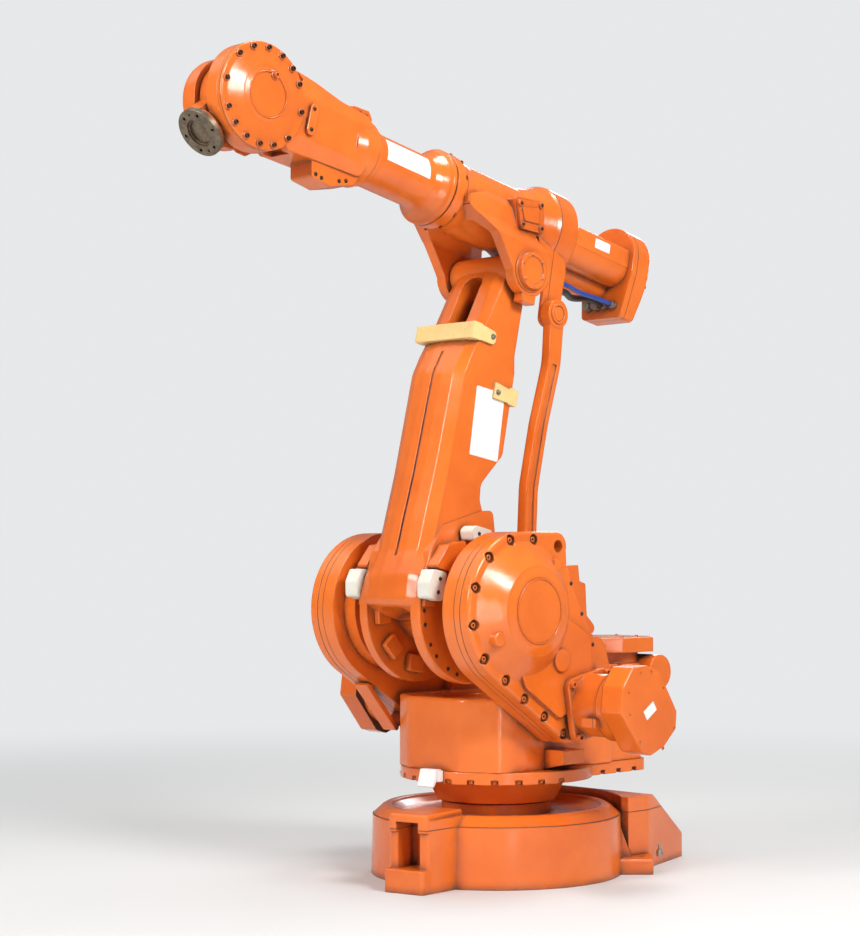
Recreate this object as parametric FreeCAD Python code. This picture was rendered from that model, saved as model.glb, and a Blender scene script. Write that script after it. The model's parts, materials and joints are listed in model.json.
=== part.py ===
"""Industrial robot arm with six turning joints and a parallel rod.

Millimetres.  +X points forward (the way the arm reaches), +Y to the robot's
left, +Z up.  The origin is on the first axis, at floor level.
"""
import FreeCAD, Part
import math
import os
from FreeCAD import Placement, Rotation, Vector

os.makedirs("parts", exist_ok=True)

# ---- Stance: where the six axes are --------------------------------------
SHOULDER_X = 272.0       # axis 2, forward of axis 1
SHOULDER_Z = 900.0       # axis 2, above the floor
LOWER_ARM = 1176.0       # axis 2 to axis 3
ELBOW_RISE = 206.0       # axis 3 up to axis 4
UPPER_ARM = 1200.0       # axis 3 to axis 5, along axis 4
LEAN = -12.2             # lower arm from vertical; plus leans forward
ARM_PITCH = -11.0        # upper arm from level; plus points down
WRIST_PITCH = 38.0       # tool flange from level; plus points down
CRANK_BACK = 160.0       # rod pins behind axis 2 and axis 3, along the upper arm
CRANK_DROP = 108.0        # and below them

# ---- Clearances ----------------------------------------------------------
GAP = 5.0                # between faces that turn past each other
PIN_GAP = 1.0            # between a spigot and the face it turns against

# ---- Base ----------------------------------------------------------------
BASE_R = 425.0
BASE_RIM_Z = 206.0
BASE_TOP_Z = 232.0
BASE_DISH_R = 352.0
BASE_DISH_Z = 208.0
SEAT_R = 188.0           # bearing seat in the middle of the dish
FOOT_ANGLE = 12.0
FOOT_BOLT_R = 495.0
FOOT_REACH = 580.0
LOW_REACH = 534.0        # the two low feet are shorter
FOOT_WIDTH = 150.0
FOOT_PAD_Z = 75.0
FOOT_HOLE_R = 14.0
LOW_PAD_Z = 52.0
BOX_FRONT_X = -300.0
BOX_BACK_X = -720.0
BOX_TOP_BACK_X = -444.0
BOX_TOP_Z = 250.0
BOX_TAIL_Z = 80.0
BOX_HALF_FRONT = 338.0
BOX_HALF_BACK = 244.0
PANEL_THICK = 8.0

# ---- Turret --------------------------------------------------------------
TURRET_RING_R = 205.0
TURRET_RING_Z = 250.0    # underside of the turning ring
FLANGE_Z = 325.0         # underside of the bolted flange
SPLIT_Z = 365.0          # flange to frame
FLANGE_R = 329.0
FRAME_TOP_Z = 606.0
TAIL_TOP_Z = 440.0
TAIL_BACK_X = -610.0
TAIL_HALF = 250.0
HOUSING_IN = 257.0       # inner face of each gear housing
COVER_SPLIT = HOUSING_IN + 77.0        # housing to cover
COVER_RIM = COVER_SPLIT + 41.0         # outer face of the cover's rim
RIM_ROUND = 14.0         # rounding of the cover's rim
COVER_FACE = COVER_RIM + 70.0          # flat top of the cover's dome
POCKET_DEEP = 24.0       # pockets of the cover's screws
SCREW_R = 236.0          # circle of the cover's screws
DISC_R = 256.0           # round part of the housing
DOME_FACE_R = 116.0
LUG_X, LUG_Z, LUG_R = -170.0, 209.0, 48.0   # lifting lug from axis 2
LUG_HOLE_R = 21.0
MOTOR_X, MOTOR_Z = -296.0, -315.0   # side motor's axis from axis 2
MOTOR_R = 104.0
MOTOR_PLATE = 24.0
MOTOR_LONG = 160.0       # round part, past its plate
MOTOR_CAP = 87.0         # thickness of the end cover
SPIN_MOTOR_X, SPIN_MOTOR_Y = -520.0, 60.0
SPIN_MOTOR_R = 112.0
SPIN_MOTOR_TOP = 735.0
SPIN_CAP = 52.0
DRUM_R = 205.0           # output drum of the right gearbox
DRUM_NECK_R = 160.0

# ---- Lower arm -----------------------------------------------------------
ARM_HALF = 126.0         # half width of the lower arm
CHEEK_HALF = 142.0       # outer faces of its two cheeks
CHEEK_THICK = 40.0
CHEEK_R = 246.0
ELBOW_HUB_R = 66.0
HUB_R = 104.0
STUB_R = 26.0            # stub between the left cheek and the crank
SLOT_FRONT = 44.0        # half width of the hose slot
STRAP_THICK = 22.0
STRAP_HALF = 136.0
STRAP_TALL = 58.0
DAMPER_OUT = 198.0       # outer face of the dampers

# ---- Crank and rod -------------------------------------------------------
ROD_IN = 150.0
ROD_OUT = 190.0
ROD_WIDE = 58.0
ROD_EYE_R = 50.0
ROD_BEND = 26.0
CRANK_OUT = HOUSING_IN - GAP - 1.0
CRANK_R = 168.0
CRANK_EYE_R = 46.0
PIN_R = 24.0

# ---- Elbow ---------------------------------------------------------------
LUG_OUT = 181.0          # outer faces of the elbow's two lugs
LUG_THICK = 40.0
EYE_R = 84.0             # lug eye about axis 3
PIN_CAP_R = 64.0
PIN_CAP_TALL = 20.0
ELBOW_FRONT = 346.0      # seam where axis 4 turns
SEAM_R = 132.0
ELBOW_R = 118.0
BELL_R = 168.0
BELL_FRONT = -140.0
BELL_BACK = -232.0
BELL_TAIL = -252.0
BRACKET_IN = ARM_HALF + GAP + 1        # bracket that holds the rod's upper pin
PAD_FACE = 150.0         # pad under the elbow's cover plate
REAR_BOX_TOP = 62.0
REAR_BOX_SIDE = 100.0    # left face of the boxed motor
END_FRONT = -600.0       # gear housing at the tail
END_BACK = -702.0
END_HALF = 120.0

# ---- Forearm and wrist ---------------------------------------------------
TUBE_R = 92.0
TUBE_COLLAR_R = 106.0
WRIST_LONG = 512.0       # axis 5 back to the seam with the tube
WRIST_SEAM = UPPER_ARM - WRIST_LONG    # along axis 4 from axis 3
WRIST_DISC_R = 168.0
NECK_SHOWS = 32.0        # face of the tool flange past the fork's discs
FLANGE_REACH = WRIST_DISC_R + NECK_SHOWS       # from axis 5
WRIST_FAR_R = 142.0
FORK_IN = 43.0           # inner faces of the wrist's fork
TILT_LIMIT = 120.0       # travel of axis 5 each way from straight
NEAR_SPLIT = 98.0        # left fork disc to its cover
NEAR_RIM = 120.0
NEAR_FACE = 137.0
FAR_OUT = 110.0
FAR_COVER = 18.0         # thickness of the right disc's cover
TILT_HALF = FORK_IN - GAP
TILT_R = WRIST_DISC_R - 42.0
NECK_R = 74.0
TOOL_R = 80.0
TOOL_THICK = 16.0
TOOL_BORE_R = 40.0
TOOL_PCD = 125.0
TOOL_HOLE_R = 5.5
TOOL_HOLES = 6
TOOL_PIN_R = 4.0

# ---- Frames of the moving bodies: local +X forward, +Z up the piece -------
Y_AXIS = Vector(0, 1, 0)


def turned(origin, degrees):
    """Frame at origin, turned about +Y."""
    return Placement(origin, Rotation(Y_AXIS, degrees))


WORLD = Placement()
SHOULDER = turned(Vector(SHOULDER_X, 0, SHOULDER_Z), 0)
ARM = turned(Vector(SHOULDER_X, 0, SHOULDER_Z), LEAN)
ELBOW_POINT = ARM.multVec(Vector(0, 0, LOWER_ARM))
UPPER_TURN = turned(ELBOW_POINT, ARM_PITCH)
ELBOW = turned(UPPER_TURN.multVec(Vector(0, 0, ELBOW_RISE)), ARM_PITCH)
WRIST = turned(ELBOW.multVec(Vector(UPPER_ARM, 0, 0)), ARM_PITCH)
TILT = turned(WRIST.Base, WRIST_PITCH)
CRANK = turned(Vector(SHOULDER_X, 0, SHOULDER_Z), ARM_PITCH)
ROD_FOOT = CRANK.multVec(Vector(-CRANK_BACK, 0, -CRANK_DROP))
ROD = turned(ROD_FOOT, LEAN)

# ---- Shape helpers -------------------------------------------------------


def spot(axis, level, a, b):
    """Point of a drawing plane: (x, z) at Y, (x, y) at Z, (y, z) at X."""
    if axis == "Y":
        return Vector(a, level, b)
    if axis == "Z":
        return Vector(a, b, level)
    return Vector(level, a, b)


def outline(corners, axis, level):
    """Closed face from corners (a, b) or (a, b, radius), rounded by arcs."""
    count = len(corners)
    points = [spot(axis, level, c[0], c[1]) for c in corners]
    radii = [c[2] if len(c) > 2 else 0.0 for c in corners]
    ends = []
    for i, point in enumerate(points):
        if not radii[i]:
            ends.append((point, None, point))
            continue
        back = points[i - 1] - point
        ahead = points[(i + 1) % count] - point
        room = 0.48 * min(back.Length, ahead.Length)
        back.normalize()
        ahead.normalize()
        half = back.getAngle(ahead) / 2
        reach = min(radii[i] / math.tan(half), room)
        radius = reach * math.tan(half)
        middle = back + ahead
        middle.normalize()
        arc_mid = point + middle * (radius / math.sin(half) - radius)
        ends.append((point + back * reach, arc_mid, point + ahead * reach))
    edges = []
    for i, (start, arc_mid, finish) in enumerate(ends):
        if arc_mid:
            edges.append(Part.Arc(start, arc_mid, finish).toShape())
        following = ends[(i + 1) % count][0]
        if (following - finish).Length > 0.01:
            edges.append(Part.LineSegment(finish, following).toShape())
    return Part.Face(Part.Wire(edges))


def slab(corners, axis, low, high):
    """Rounded outline pushed from low to high along axis."""
    push = {"X": Vector(1, 0, 0), "Y": Vector(0, 1, 0), "Z": Vector(0, 0, 1)}
    return outline(corners, axis, low).extrude(push[axis] * (high - low))


def disc(axis, a, b, radius, low, high):
    """Cylinder along axis, centred at (a, b) of its drawing plane."""
    way = {"X": Vector(1, 0, 0), "Y": Vector(0, 1, 0), "Z": Vector(0, 0, 1)}
    return Part.makeCylinder(radius, high - low, spot(axis, low, a, b), way[axis])


def cone(axis, a, b, low, low_r, high, high_r):
    way = {"X": Vector(1, 0, 0), "Y": Vector(0, 1, 0), "Z": Vector(0, 0, 1)}
    start = spot(axis, low, a, b)
    return Part.makeCone(low_r, high_r, high - low, start, way[axis])


def box(x0, x1, y0, y1, z0, z1):
    return Part.makeBox(x1 - x0, y1 - y0, z1 - z0, Vector(x0, y0, z0))


def revolved(profile, axis):
    """Solid turned about Z (profile r, z) or about X (profile r, x)."""
    points = [(r, 0, h) if axis == "Z" else (h, 0, r) for r, h in profile]
    wire = Part.makePolygon([Vector(*p) for p in points + points[:1]])
    way = Vector(0, 0, 1) if axis == "Z" else Vector(1, 0, 0)
    return Part.Face(wire).revolve(Vector(0, 0, 0), way, 360)


def joined(first, *others):
    return first.multiFuse(list(others)).removeSplitter()


def mirrored(shape):
    """Copy on the robot's other side."""
    return shape.mirror(Vector(0, 0, 0), Vector(0, 1, 0))


def spun(shape, degrees):
    """Copy turned about the vertical axis."""
    copy = shape.copy()
    copy.rotate(Vector(0, 0, 0), Vector(0, 0, 1), degrees)
    return copy


def round_rim(shape, axis, level, radius):
    """Round the edges that lie in one plane."""
    index = "XYZ".index(axis)
    rim = [e for e in shape.Edges
           if all(abs(v.Point[index] - level) < 0.01 for v in e.Vertexes)
           and abs(e.CenterOfMass[index] - level) < 0.01]
    return shape.makeFillet(radius, rim)


def on_circle(radius, degrees):
    angle = math.radians(degrees)
    return radius * math.cos(angle), radius * math.sin(angle)


def save(node, shape, frame=WORLD):
    """Put the piece in its frame and write it as one node."""
    placed = shape.copy()
    placed.Placement = frame.multiply(placed.Placement)
    solids = placed.Solids
    assert solids and all(s.isValid() for s in solids), node
    placed = solids[0] if len(solids) == 1 else Part.makeCompound(solids)
    placed.exportStep("parts/%s.step" % node)
    print("%-26s solids %d  volume %.4f m3" % (node, len(solids), placed.Volume / 1e9))


# ---- Base ----------------------------------------------------------------


def base_foot(tall):
    """One foot along +X: a tall windowed column, or a low pad with a gusset."""
    half = FOOT_WIDTH / 2
    pad_z, end = (FOOT_PAD_Z, FOOT_REACH) if tall else (LOW_PAD_Z, LOW_REACH)
    pad = slab([(330, -half - 12), (end, -half, 14),
                (end, half, 14), (330, half + 12)], "Z", 0, pad_z)
    pad = round_rim(pad, "Z", pad_z, 6)
    hole = disc("Z", FOOT_BOLT_R, 0, FOOT_HOLE_R, -1, pad_z + 1)
    if not tall:
        gusset = slab([(300, pad_z - 10), (FOOT_BOLT_R - 30, pad_z - 10),
                       (BASE_R - 20, BASE_RIM_Z), (300, BASE_RIM_Z)], "Y", -24, 24)
        return joined(pad, gusset).cut(hole)
    column_face = FOOT_REACH - 34
    column = slab([(300, -half - 40), (column_face, -half, 12),
                   (column_face, half, 12), (300, half + 40)], "Z", 0, BASE_TOP_Z)
    head = slab([(330, -half), (column_face + 12, -half, 16),
                 (column_face + 12, half, 16), (330, half)],
                "Z", BASE_RIM_Z - 14, BASE_TOP_Z + 18)
    head = round_rim(head, "Z", BASE_TOP_Z + 18, 10)
    window = box(FOOT_BOLT_R - 36, FOOT_REACH + 1, -42, 42, pad_z, BASE_TOP_Z - 8)
    return joined(pad, column, head).cut(window).cut(hole)


def base_casting():
    drum = revolved([(0, 0), (BASE_R + 4, 0), (BASE_R, BASE_RIM_Z - 8),
                     (BASE_R - 10, BASE_RIM_Z), (BASE_R - 32, BASE_TOP_Z - 6),
                     (BASE_R - 44, BASE_TOP_Z), (BASE_DISH_R + 8, BASE_TOP_Z),
                     (BASE_DISH_R, BASE_TOP_Z - 8), (BASE_DISH_R - 30, BASE_DISH_Z),
                     (SEAT_R, BASE_DISH_Z), (SEAT_R, TURRET_RING_Z - GAP), (0, TURRET_RING_Z - GAP)],
                    "Z")
    feet = [spun(base_foot(tall), FOOT_ANGLE + turn)
            for tall, turn in ((True, 0), (False, 120), (False, 240))]
    body = joined(drum, *feet)
    dish = revolved([(SEAT_R, BASE_DISH_Z), (BASE_DISH_R - 30, BASE_DISH_Z),
                     (BASE_DISH_R, BASE_TOP_Z - 8), (BASE_DISH_R, BASE_TOP_Z + 20),
                     (SEAT_R, BASE_TOP_Z + 20)], "Z")
    return body.cut(dish)


def base_rear_box(casting):
    plan = slab([(BOX_FRONT_X, -BOX_HALF_FRONT), (BOX_FRONT_X - 110, -BOX_HALF_FRONT),
                 (BOX_BACK_X, -BOX_HALF_BACK, 10), (BOX_BACK_X, BOX_HALF_BACK, 10),
                 (BOX_FRONT_X - 110, BOX_HALF_FRONT), (BOX_FRONT_X, BOX_HALF_FRONT)],
                "Z", 0, BOX_TOP_Z)
    side = slab([(BOX_FRONT_X, 0), (BOX_BACK_X, 0), (BOX_BACK_X, BOX_TAIL_Z, 20),
                 (BOX_TOP_BACK_X, BOX_TOP_Z, 30), (BOX_FRONT_X, BOX_TOP_Z)],
                "Y", -BOX_HALF_FRONT - 1, BOX_HALF_FRONT + 1)
    core = disc("Z", 0, 0, BASE_R + 4, -1, BOX_TOP_Z + 1)
    return plan.common(side).cut(core).cut(casting)


def base_connector_panel():
    """Plate on the tail of the base box, with sockets for the leads."""
    plate = slab([(-190, 12, 6), (190, 12, 6), (190, BOX_TAIL_Z - 20, 6),
                  (-190, BOX_TAIL_Z - 20, 6)], "X",
                 BOX_BACK_X - PANEL_THICK, BOX_BACK_X)
    back = BOX_BACK_X - PANEL_THICK
    sockets = [disc("X", y, 36, 17, back - 22, back) for y in (-150, -100, 100, 150)]
    sockets.append(box(back - 26, back, -62, 62, 20, 52))
    return joined(plate, *sockets)


def base_ground_stud():
    """Earth stud with two nuts on the left rear foot."""
    x, y = on_circle(FOOT_REACH - 22, FOOT_ANGLE + 120)
    stud = disc("Z", x, y, 5, LOW_PAD_Z, LOW_PAD_Z + 42)
    nuts = [disc("Z", x, y, 11, LOW_PAD_Z + low, LOW_PAD_Z + low + 9)
            for low in (0, 12)]
    washer = disc("Z", x, y, 13, LOW_PAD_Z + 9, LOW_PAD_Z + 12)
    return joined(stud, washer, *nuts)


# ---- Turret --------------------------------------------------------------


def tail_plan(half, back):
    return [(120, -half, 20), (back + 110, -half, 40), (back, -half + 130, 50),
            (back, half - 130, 50), (back + 110, half, 40), (120, half, 20)]


def turret_flange():
    """Bolted ring under the frame, notched at each of its screws."""
    plate = joined(disc("Z", 0, 0, FLANGE_R, FLANGE_Z, SPLIT_Z),
                   slab(tail_plan(TAIL_HALF, TAIL_BACK_X), "Z", FLANGE_Z, SPLIT_Z))
    notches = []
    for degrees in range(-84, 85, 14):
        notch = box(FLANGE_R - 16, FLANGE_R + 9, -12, 12, FLANGE_Z - 1, FLANGE_Z + 15)
        notches.append(spun(notch, degrees))
    for x in range(-440, -100, 85):
        notches.append(box(x - 12, x + 12, TAIL_HALF - 16, TAIL_HALF + 9,
                           FLANGE_Z - 1, FLANGE_Z + 15))
        notches.append(mirrored(notches[-1]))
    ring = cone("Z", 0, 0, TURRET_RING_Z, TURRET_RING_R, FLANGE_Z, TURRET_RING_R + 34)
    spigot = disc("Z", 0, 0, SEAT_R - 10, TURRET_RING_Z - GAP + PIN_GAP, TURRET_RING_Z)
    return joined(plate.cut(Part.makeCompound(notches)), ring, spigot)


def turret_frame():
    """Cast frame: a tall front between the gear housings, and a low tail."""
    front = slab([(308, -120, 90), (228, -HOUSING_IN + 2, 90), (-330, -HOUSING_IN, 30),
                  (-330, HOUSING_IN, 30), (228, HOUSING_IN - 2, 90), (308, 120, 90)],
                 "Z", SPLIT_Z, FRAME_TOP_Z)
    front = round_rim(front, "Z", FRAME_TOP_Z, 12)
    tail = slab(tail_plan(TAIL_HALF - 8, TAIL_BACK_X + 8), "Z", SPLIT_Z, TAIL_TOP_Z)
    cheek = slab([(0, FRAME_TOP_Z - 20), (-40, 800, 40), (-270, 800, 60),
                  (-330, FRAME_TOP_Z - 20)], "Y", HOUSING_IN - 38, HOUSING_IN)
    saddle = slab([(-120, SPLIT_Z + 10), (-210, 690, 60), (-310, 690, 40),
                   (-380, TAIL_TOP_Z - 10)], "Y", -HOUSING_IN + 38, HOUSING_IN - 38)
    well = disc("Z", SHOULDER_X - 120, 0, 110, FRAME_TOP_Z - 40, FRAME_TOP_Z + 20)
    return joined(front, tail, cheek, mirrored(cheek), saddle).cut(well)


FLANK_SLOPE = 32.7       # underside of the gear housing, down towards the back
LUG_HOLE = disc("Y", LUG_X, LUG_Z, LUG_HOLE_R, HOUSING_IN - 1, COVER_FACE)


def on_flank(back, out=0.0):
    """Point on the housing's underside: back along it, and out from it."""
    angle = math.radians(FLANK_SLOPE)
    along, away = (-math.cos(angle), -math.sin(angle)), (math.sin(angle), -math.cos(angle))
    reach = DISC_R + out
    return away[0] * reach + along[0] * back, away[1] * reach + along[1] * back


def housing_body(low, high):
    """Round part, flank and lifting lug, between two Y planes."""
    x, z = on_flank(417)
    flank = [on_flank(0), (x, z, 26), (x - 78, z, 40), (-385, -330, 40), (-366, -116, 20),
             (-306, -17, 40), (-245, 85, 40), (-231, 138, 10), (-120, 120), (0, 0)]
    return joined(disc("Y", 0, 0, DISC_R, low, high),
                  slab(flank, "Y", low, high),
                  disc("Y", LUG_X, LUG_Z, LUG_R, low, high),
                  slab([(0, DISC_R), (LUG_X, LUG_Z + LUG_R - 1), (LUG_X - 46, LUG_Z - 12),
                        (LUG_X - 54, 60), (0, 60)], "Y", low, high))


def gear_housing():
    """Left gear housing; the crank or the arm turns inside its inner face."""
    steps = slab([(-200, 120), (-284, 144, 6), (-335, 147, 6), (-342, 92, 8),
                  (-372, 84, 8), (-379, -24, 10), (-442, -80, 20), (-300, -100)],
                 "Y", HOUSING_IN, HOUSING_IN + 62)
    return joined(housing_body(HOUSING_IN, COVER_SPLIT), steps).cut(LUG_HOLE)


def cover_screws():
    """Places of the cover's screws about axis 2, clockwise from the top."""
    ring = [on_circle(SCREW_R, a) for a in (102, 75, 47, 19, -10, -39, -69)]
    return ring + [on_flank(back, SCREW_R - DISC_R) for back in (158, 272, 386)]


def gear_cover():
    """Left gear cover: a rim, a low dome and a screw pocket at each screw."""
    rim = round_rim(housing_body(COVER_SPLIT, COVER_RIM), "Y", COVER_RIM, RIM_ROUND)
    dome = cone("Y", 0, 0, COVER_RIM - 2, DISC_R - 28, COVER_FACE - 8, DOME_FACE_R + 30)
    cap = cone("Y", 0, 0, COVER_FACE - 10, DOME_FACE_R + 32, COVER_FACE, DOME_FACE_R + 2)
    deck = slab([(40, -170), on_flank(130, -46) + (20,), on_flank(330, -46) + (20,),
                 (-330, -268, 30), (-318, -90, 30), (-150, 0)], "Y", COVER_RIM - 2, COVER_RIM + 14)
    boss_face = COVER_RIM + 48
    boss = round_rim(disc("Y", 159, -86, 24, COVER_RIM, boss_face), "Y", boss_face, 5)
    port = disc("Y", -165, -164, 38, COVER_RIM, COVER_RIM + 24)
    plug = disc("Y", -134, 150, 18, COVER_RIM, COVER_RIM + 30)
    body = joined(rim, dome, cap, deck, boss, port, plug)
    pockets = [disc("Y", x, z, 18, COVER_RIM - POCKET_DEEP, COVER_FACE + 1)
               for x, z in cover_screws()]
    pockets.append(LUG_HOLE)
    groove = disc("Y", 0, 0, DOME_FACE_R - 8, COVER_FACE - 2, COVER_FACE + 1)
    groove = groove.cut(disc("Y", 0, 0, DOME_FACE_R - 11, COVER_FACE - 2, COVER_FACE + 1))
    return body.cut(Part.makeCompound(pockets)).cut(groove)


def side_motor():
    """Left side motor: a four-cornered plate and a round body, along +Y."""
    start = COVER_RIM + 14
    reach = 150.0
    plate = slab([(MOTOR_X + reach * math.cos(a), MOTOR_Z + reach * math.sin(a), 34)
                  for a in (math.radians(34), math.radians(124), math.radians(214),
                            math.radians(304))], "Y", start, start + MOTOR_PLATE)
    plate = round_rim(plate, "Y", start + MOTOR_PLATE, 5)
    barrel_end = start + MOTOR_PLATE + MOTOR_LONG
    barrel = disc("Y", MOTOR_X, MOTOR_Z, MOTOR_R, start + MOTOR_PLATE - 1, barrel_end - 52)
    bell = disc("Y", MOTOR_X, MOTOR_Z, MOTOR_R + 10, barrel_end - 58, barrel_end)
    key = box(MOTOR_X + 60, MOTOR_X + 126, start + MOTOR_PLATE + 60, barrel_end - 40,
              MOTOR_Z - 64, MOTOR_Z - 34)
    return joined(plate, barrel, bell, key)


def side_motor_cover():
    """Eight-cornered end cover, drawn out along the slope of the housing."""
    start = COVER_RIM + 14 + MOTOR_PLATE + MOTOR_LONG
    shell = slab([(-158, -240, 14), (-206, -180, 14), (-278, -176, 14), (-344, -197, 14),
                  (-433, -331, 14), (-428, -388, 14), (-366, -442, 14), (-298, -467, 14),
                  (-252, -454, 14), (-147, -324, 14)], "Y", start, start + MOTOR_CAP)
    return round_rim(shell, "Y", start + MOTOR_CAP, 5)


def spin_motor():
    """Upright motor of axis 1 on the tail, with its gear foot."""
    x, y = SPIN_MOTOR_X, SPIN_MOTOR_Y
    barrel = disc("Z", x, y, SPIN_MOTOR_R, TAIL_TOP_Z + 40, SPIN_MOTOR_TOP)
    foot = slab([(x - 128, y - 128, 20), (x + 128, y - 128, 20),
                 (x + 128, y + 128, 20), (x - 128, y + 128, 20)],
                "Z", TAIL_TOP_Z, TAIL_TOP_Z + 42)
    collar = disc("Z", x, y, SPIN_MOTOR_R + 16, SPIN_MOTOR_TOP - 90, SPIN_MOTOR_TOP - 40)
    ribs = [box(x + dx - 9, x + dx + 9, y + SPIN_MOTOR_R - 20, y + SPIN_MOTOR_R + 14,
                TAIL_TOP_Z + 42, SPIN_MOTOR_TOP - 40) for dx in (-60, -20, 20, 60)]
    brake = disc("Y", x - 96, 662, 62, y, y + 172)
    brake = round_rim(brake, "Y", y + 172, 6)
    return joined(barrel, foot, collar, brake, *ribs)


def spin_motor_cover():
    x, y, wide, cut = SPIN_MOTOR_X, SPIN_MOTOR_Y, 148.0, 64.0
    plan = [(x - wide, y - wide + cut), (x - wide, y + wide - cut),
            (x - wide + cut, y + wide), (x + wide - cut, y + wide),
            (x + wide, y + wide - cut), (x + wide, y - wide + cut),
            (x + wide - cut, y - wide), (x - wide + cut, y - wide)]
    shell = slab([(a, b, 8) for a, b in plan], "Z", SPIN_MOTOR_TOP, SPIN_MOTOR_TOP + SPIN_CAP)
    return round_rim(shell, "Z", SPIN_MOTOR_TOP + SPIN_CAP, 4)


def stop_block():
    """Stop of axis 1 on the left flank of the frame."""
    block = box(-66, 40, TAIL_HALF - 30, 340, 368, 432)
    slope = slab([(262, 368), (341, 368), (341, 386)], "X", -66, 40)
    return block.cut(slope).cut(FRAME)


def scale_plate():
    """Angle scale at the front of the flange."""
    foot = box(FLANGE_R - 1, FLANGE_R + 26, -38, 38, SPLIT_Z - 32, SPLIT_Z + 4)
    blade = slab([(FLANGE_R + 4, SPLIT_Z + 8), (FLANGE_R + 30, SPLIT_Z + 8),
                  (FLANGE_R + 46, SPLIT_Z - 48), (FLANGE_R + 40, SPLIT_Z - 50)], "Y", -34, 34)
    return spun(joined(foot, blade), 4).cut(FLANGE)


def cable_bracket():
    """Bent plate that carries the leads under the right gear housing."""
    top, bottom = (91, -262), (-52, -424)
    low, high = -HOUSING_IN - 69, -HOUSING_IN - 5
    long = math.hypot(top[0] - bottom[0], top[1] - bottom[1])
    slope = turned(Vector(top[0], 0, top[1]), math.degrees(
        math.atan2(top[0] - bottom[0], top[1] - bottom[1])))
    plate = slab([(-12, 0, 5), (-12, -long, 5), (4, -long, 5), (4, 0, 5)], "Y", low, high)
    legs = [box(-130, 0, low, high, z, z + 12) for z in (-24, 4 - long)]
    body = joined(plate, *legs)
    body.Placement = slope
    return body.cut(mirrored(HOUSING)).cut(mirrored(COVER))


def output_drum():
    """Output side of the right gearbox, which carries the lower arm."""
    wide = disc("Y", 0, 0, DRUM_R, -HOUSING_IN, -DAMPER_OUT - GAP)
    return joined(wide, disc("Y", 0, 0, DRUM_NECK_R, -DAMPER_OUT - GAP, -CHEEK_HALF - GAP))


# ---- Lower arm, drawn upright with axis 2 at its origin -------------------


def arm_profile(bulge):
    """Side view of the lower arm, its front moved out by a share of its bulge."""
    front = [(245, -30, 17, 30), (250, 60, 16, 60), (210, 150, 34, 100), (202, 260, 34, 100),
             (190, 420, 32, 200), (180, LOWER_ARM - 404, 25, 100),
             (160, LOWER_ARM - 336, 20, 60), (105, LOWER_ARM - 196, 22, 100),
             (66, LOWER_ARM - 75, 26, 60), (36, LOWER_ARM + 14, 20, 40)]
    back = [(-10, LOWER_ARM + 74, 40), (-60, LOWER_ARM + 60, 40), (-84, LOWER_ARM - 6, 40),
            (-46, LOWER_ARM - 96, 40), (-43, LOWER_ARM - 289, 60), (-55, LOWER_ARM - 346, 60),
            (-55, 540, 40), (0, 462, 50),
            (28, 420, 40), (22, 366, 40), (-34, 276, 60), (-150, 180, 60), (-232, 60, 60),
            (-236, -30, 30), (-150, -60), (180, -60)]
    return [(x + bulge * more, z, r) for x, z, more, r in front] + back


def tapered(first, low, second, high):
    """Solid between two outlines of the same make, at two Y planes."""
    wires = [outline(first, "Y", low).OuterWire, outline(second, "Y", high).OuterWire]
    return Part.makeLoft(wires, True, True)


def lower_arm():
    flat, turn = 40.0, 88.0
    sides = joined(tapered(arm_profile(1), flat, arm_profile(0.74), turn),
                   tapered(arm_profile(0.74), turn, arm_profile(0), ARM_HALF))
    trunk = joined(slab(arm_profile(1), "Y", -flat, flat), sides, mirrored(sides))
    cheek = joined(disc("Y", 0, 0, CHEEK_R, CHEEK_HALF - CHEEK_THICK, CHEEK_HALF),
                   slab([(-150, 60), (-44, 346, 20), (8, 334, 10), (180, 246, 10),
                         (226, 150, 40), (CHEEK_R - 6, 30)], "Y",
                        CHEEK_HALF - CHEEK_THICK, CHEEK_HALF))
    flare = slab([(0, -300), (CHEEK_HALF + 1, -300), (CHEEK_HALF + 1, 110, 60),
                  (ARM_HALF + 4, 240, 60), (ARM_HALF + 4, 400), (0, 400)], "X", -300, 300)
    cheek = round_rim(cheek, "Y", CHEEK_HALF, 8).common(flare)
    hub = disc("Y", 0, 0, HUB_R, -CHEEK_HALF + 2, CHEEK_HALF - 2)
    pins = disc("Y", 0, LOWER_ARM, ELBOW_HUB_R, -LUG_OUT + LUG_THICK + GAP,
                LUG_OUT - LUG_THICK - GAP)
    stub = disc("Y", 0, 0, STUB_R, CHEEK_HALF - 2, ROD_OUT)
    body = joined(trunk, cheek, mirrored(cheek), hub, pins, stub)
    inside = CHEEK_HALF - CHEEK_THICK
    fork = slab([(-300, -300), (300, -300), (300, -70, 50), (-300, -70, 50)], "Y", -inside, inside)
    fork = fork.cut(disc("Y", 0, 0, HUB_R, -CHEEK_HALF, CHEEK_HALF))
    arch = slab([(-84, -90), (-62, -40, 30), (62, -40, 30), (84, -90)], "X", 120, 320)
    foot, top = LOWER_ARM - 276, LOWER_ARM - 30
    slot = slab([(SLOT_FRONT, foot, 30), (SLOT_FRONT, top, 36), (-SLOT_FRONT, top, 36),
                 (-SLOT_FRONT, foot, 30)], "X", 0, 260)
    throat = box(0, 120, -SLOT_FRONT, SLOT_FRONT, foot - 50, top - 86)
    groove = slab(arm_profile(1), "Y", -5, 5).cut(slab(arm_profile(0.8), "Y", -6, 6))
    groove = groove.common(box(100, 300, -6, 6, 130, foot - 50))
    return body.cut(fork).cut(arch).cut(slot.fuse(throat)).cut(groove)


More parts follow.
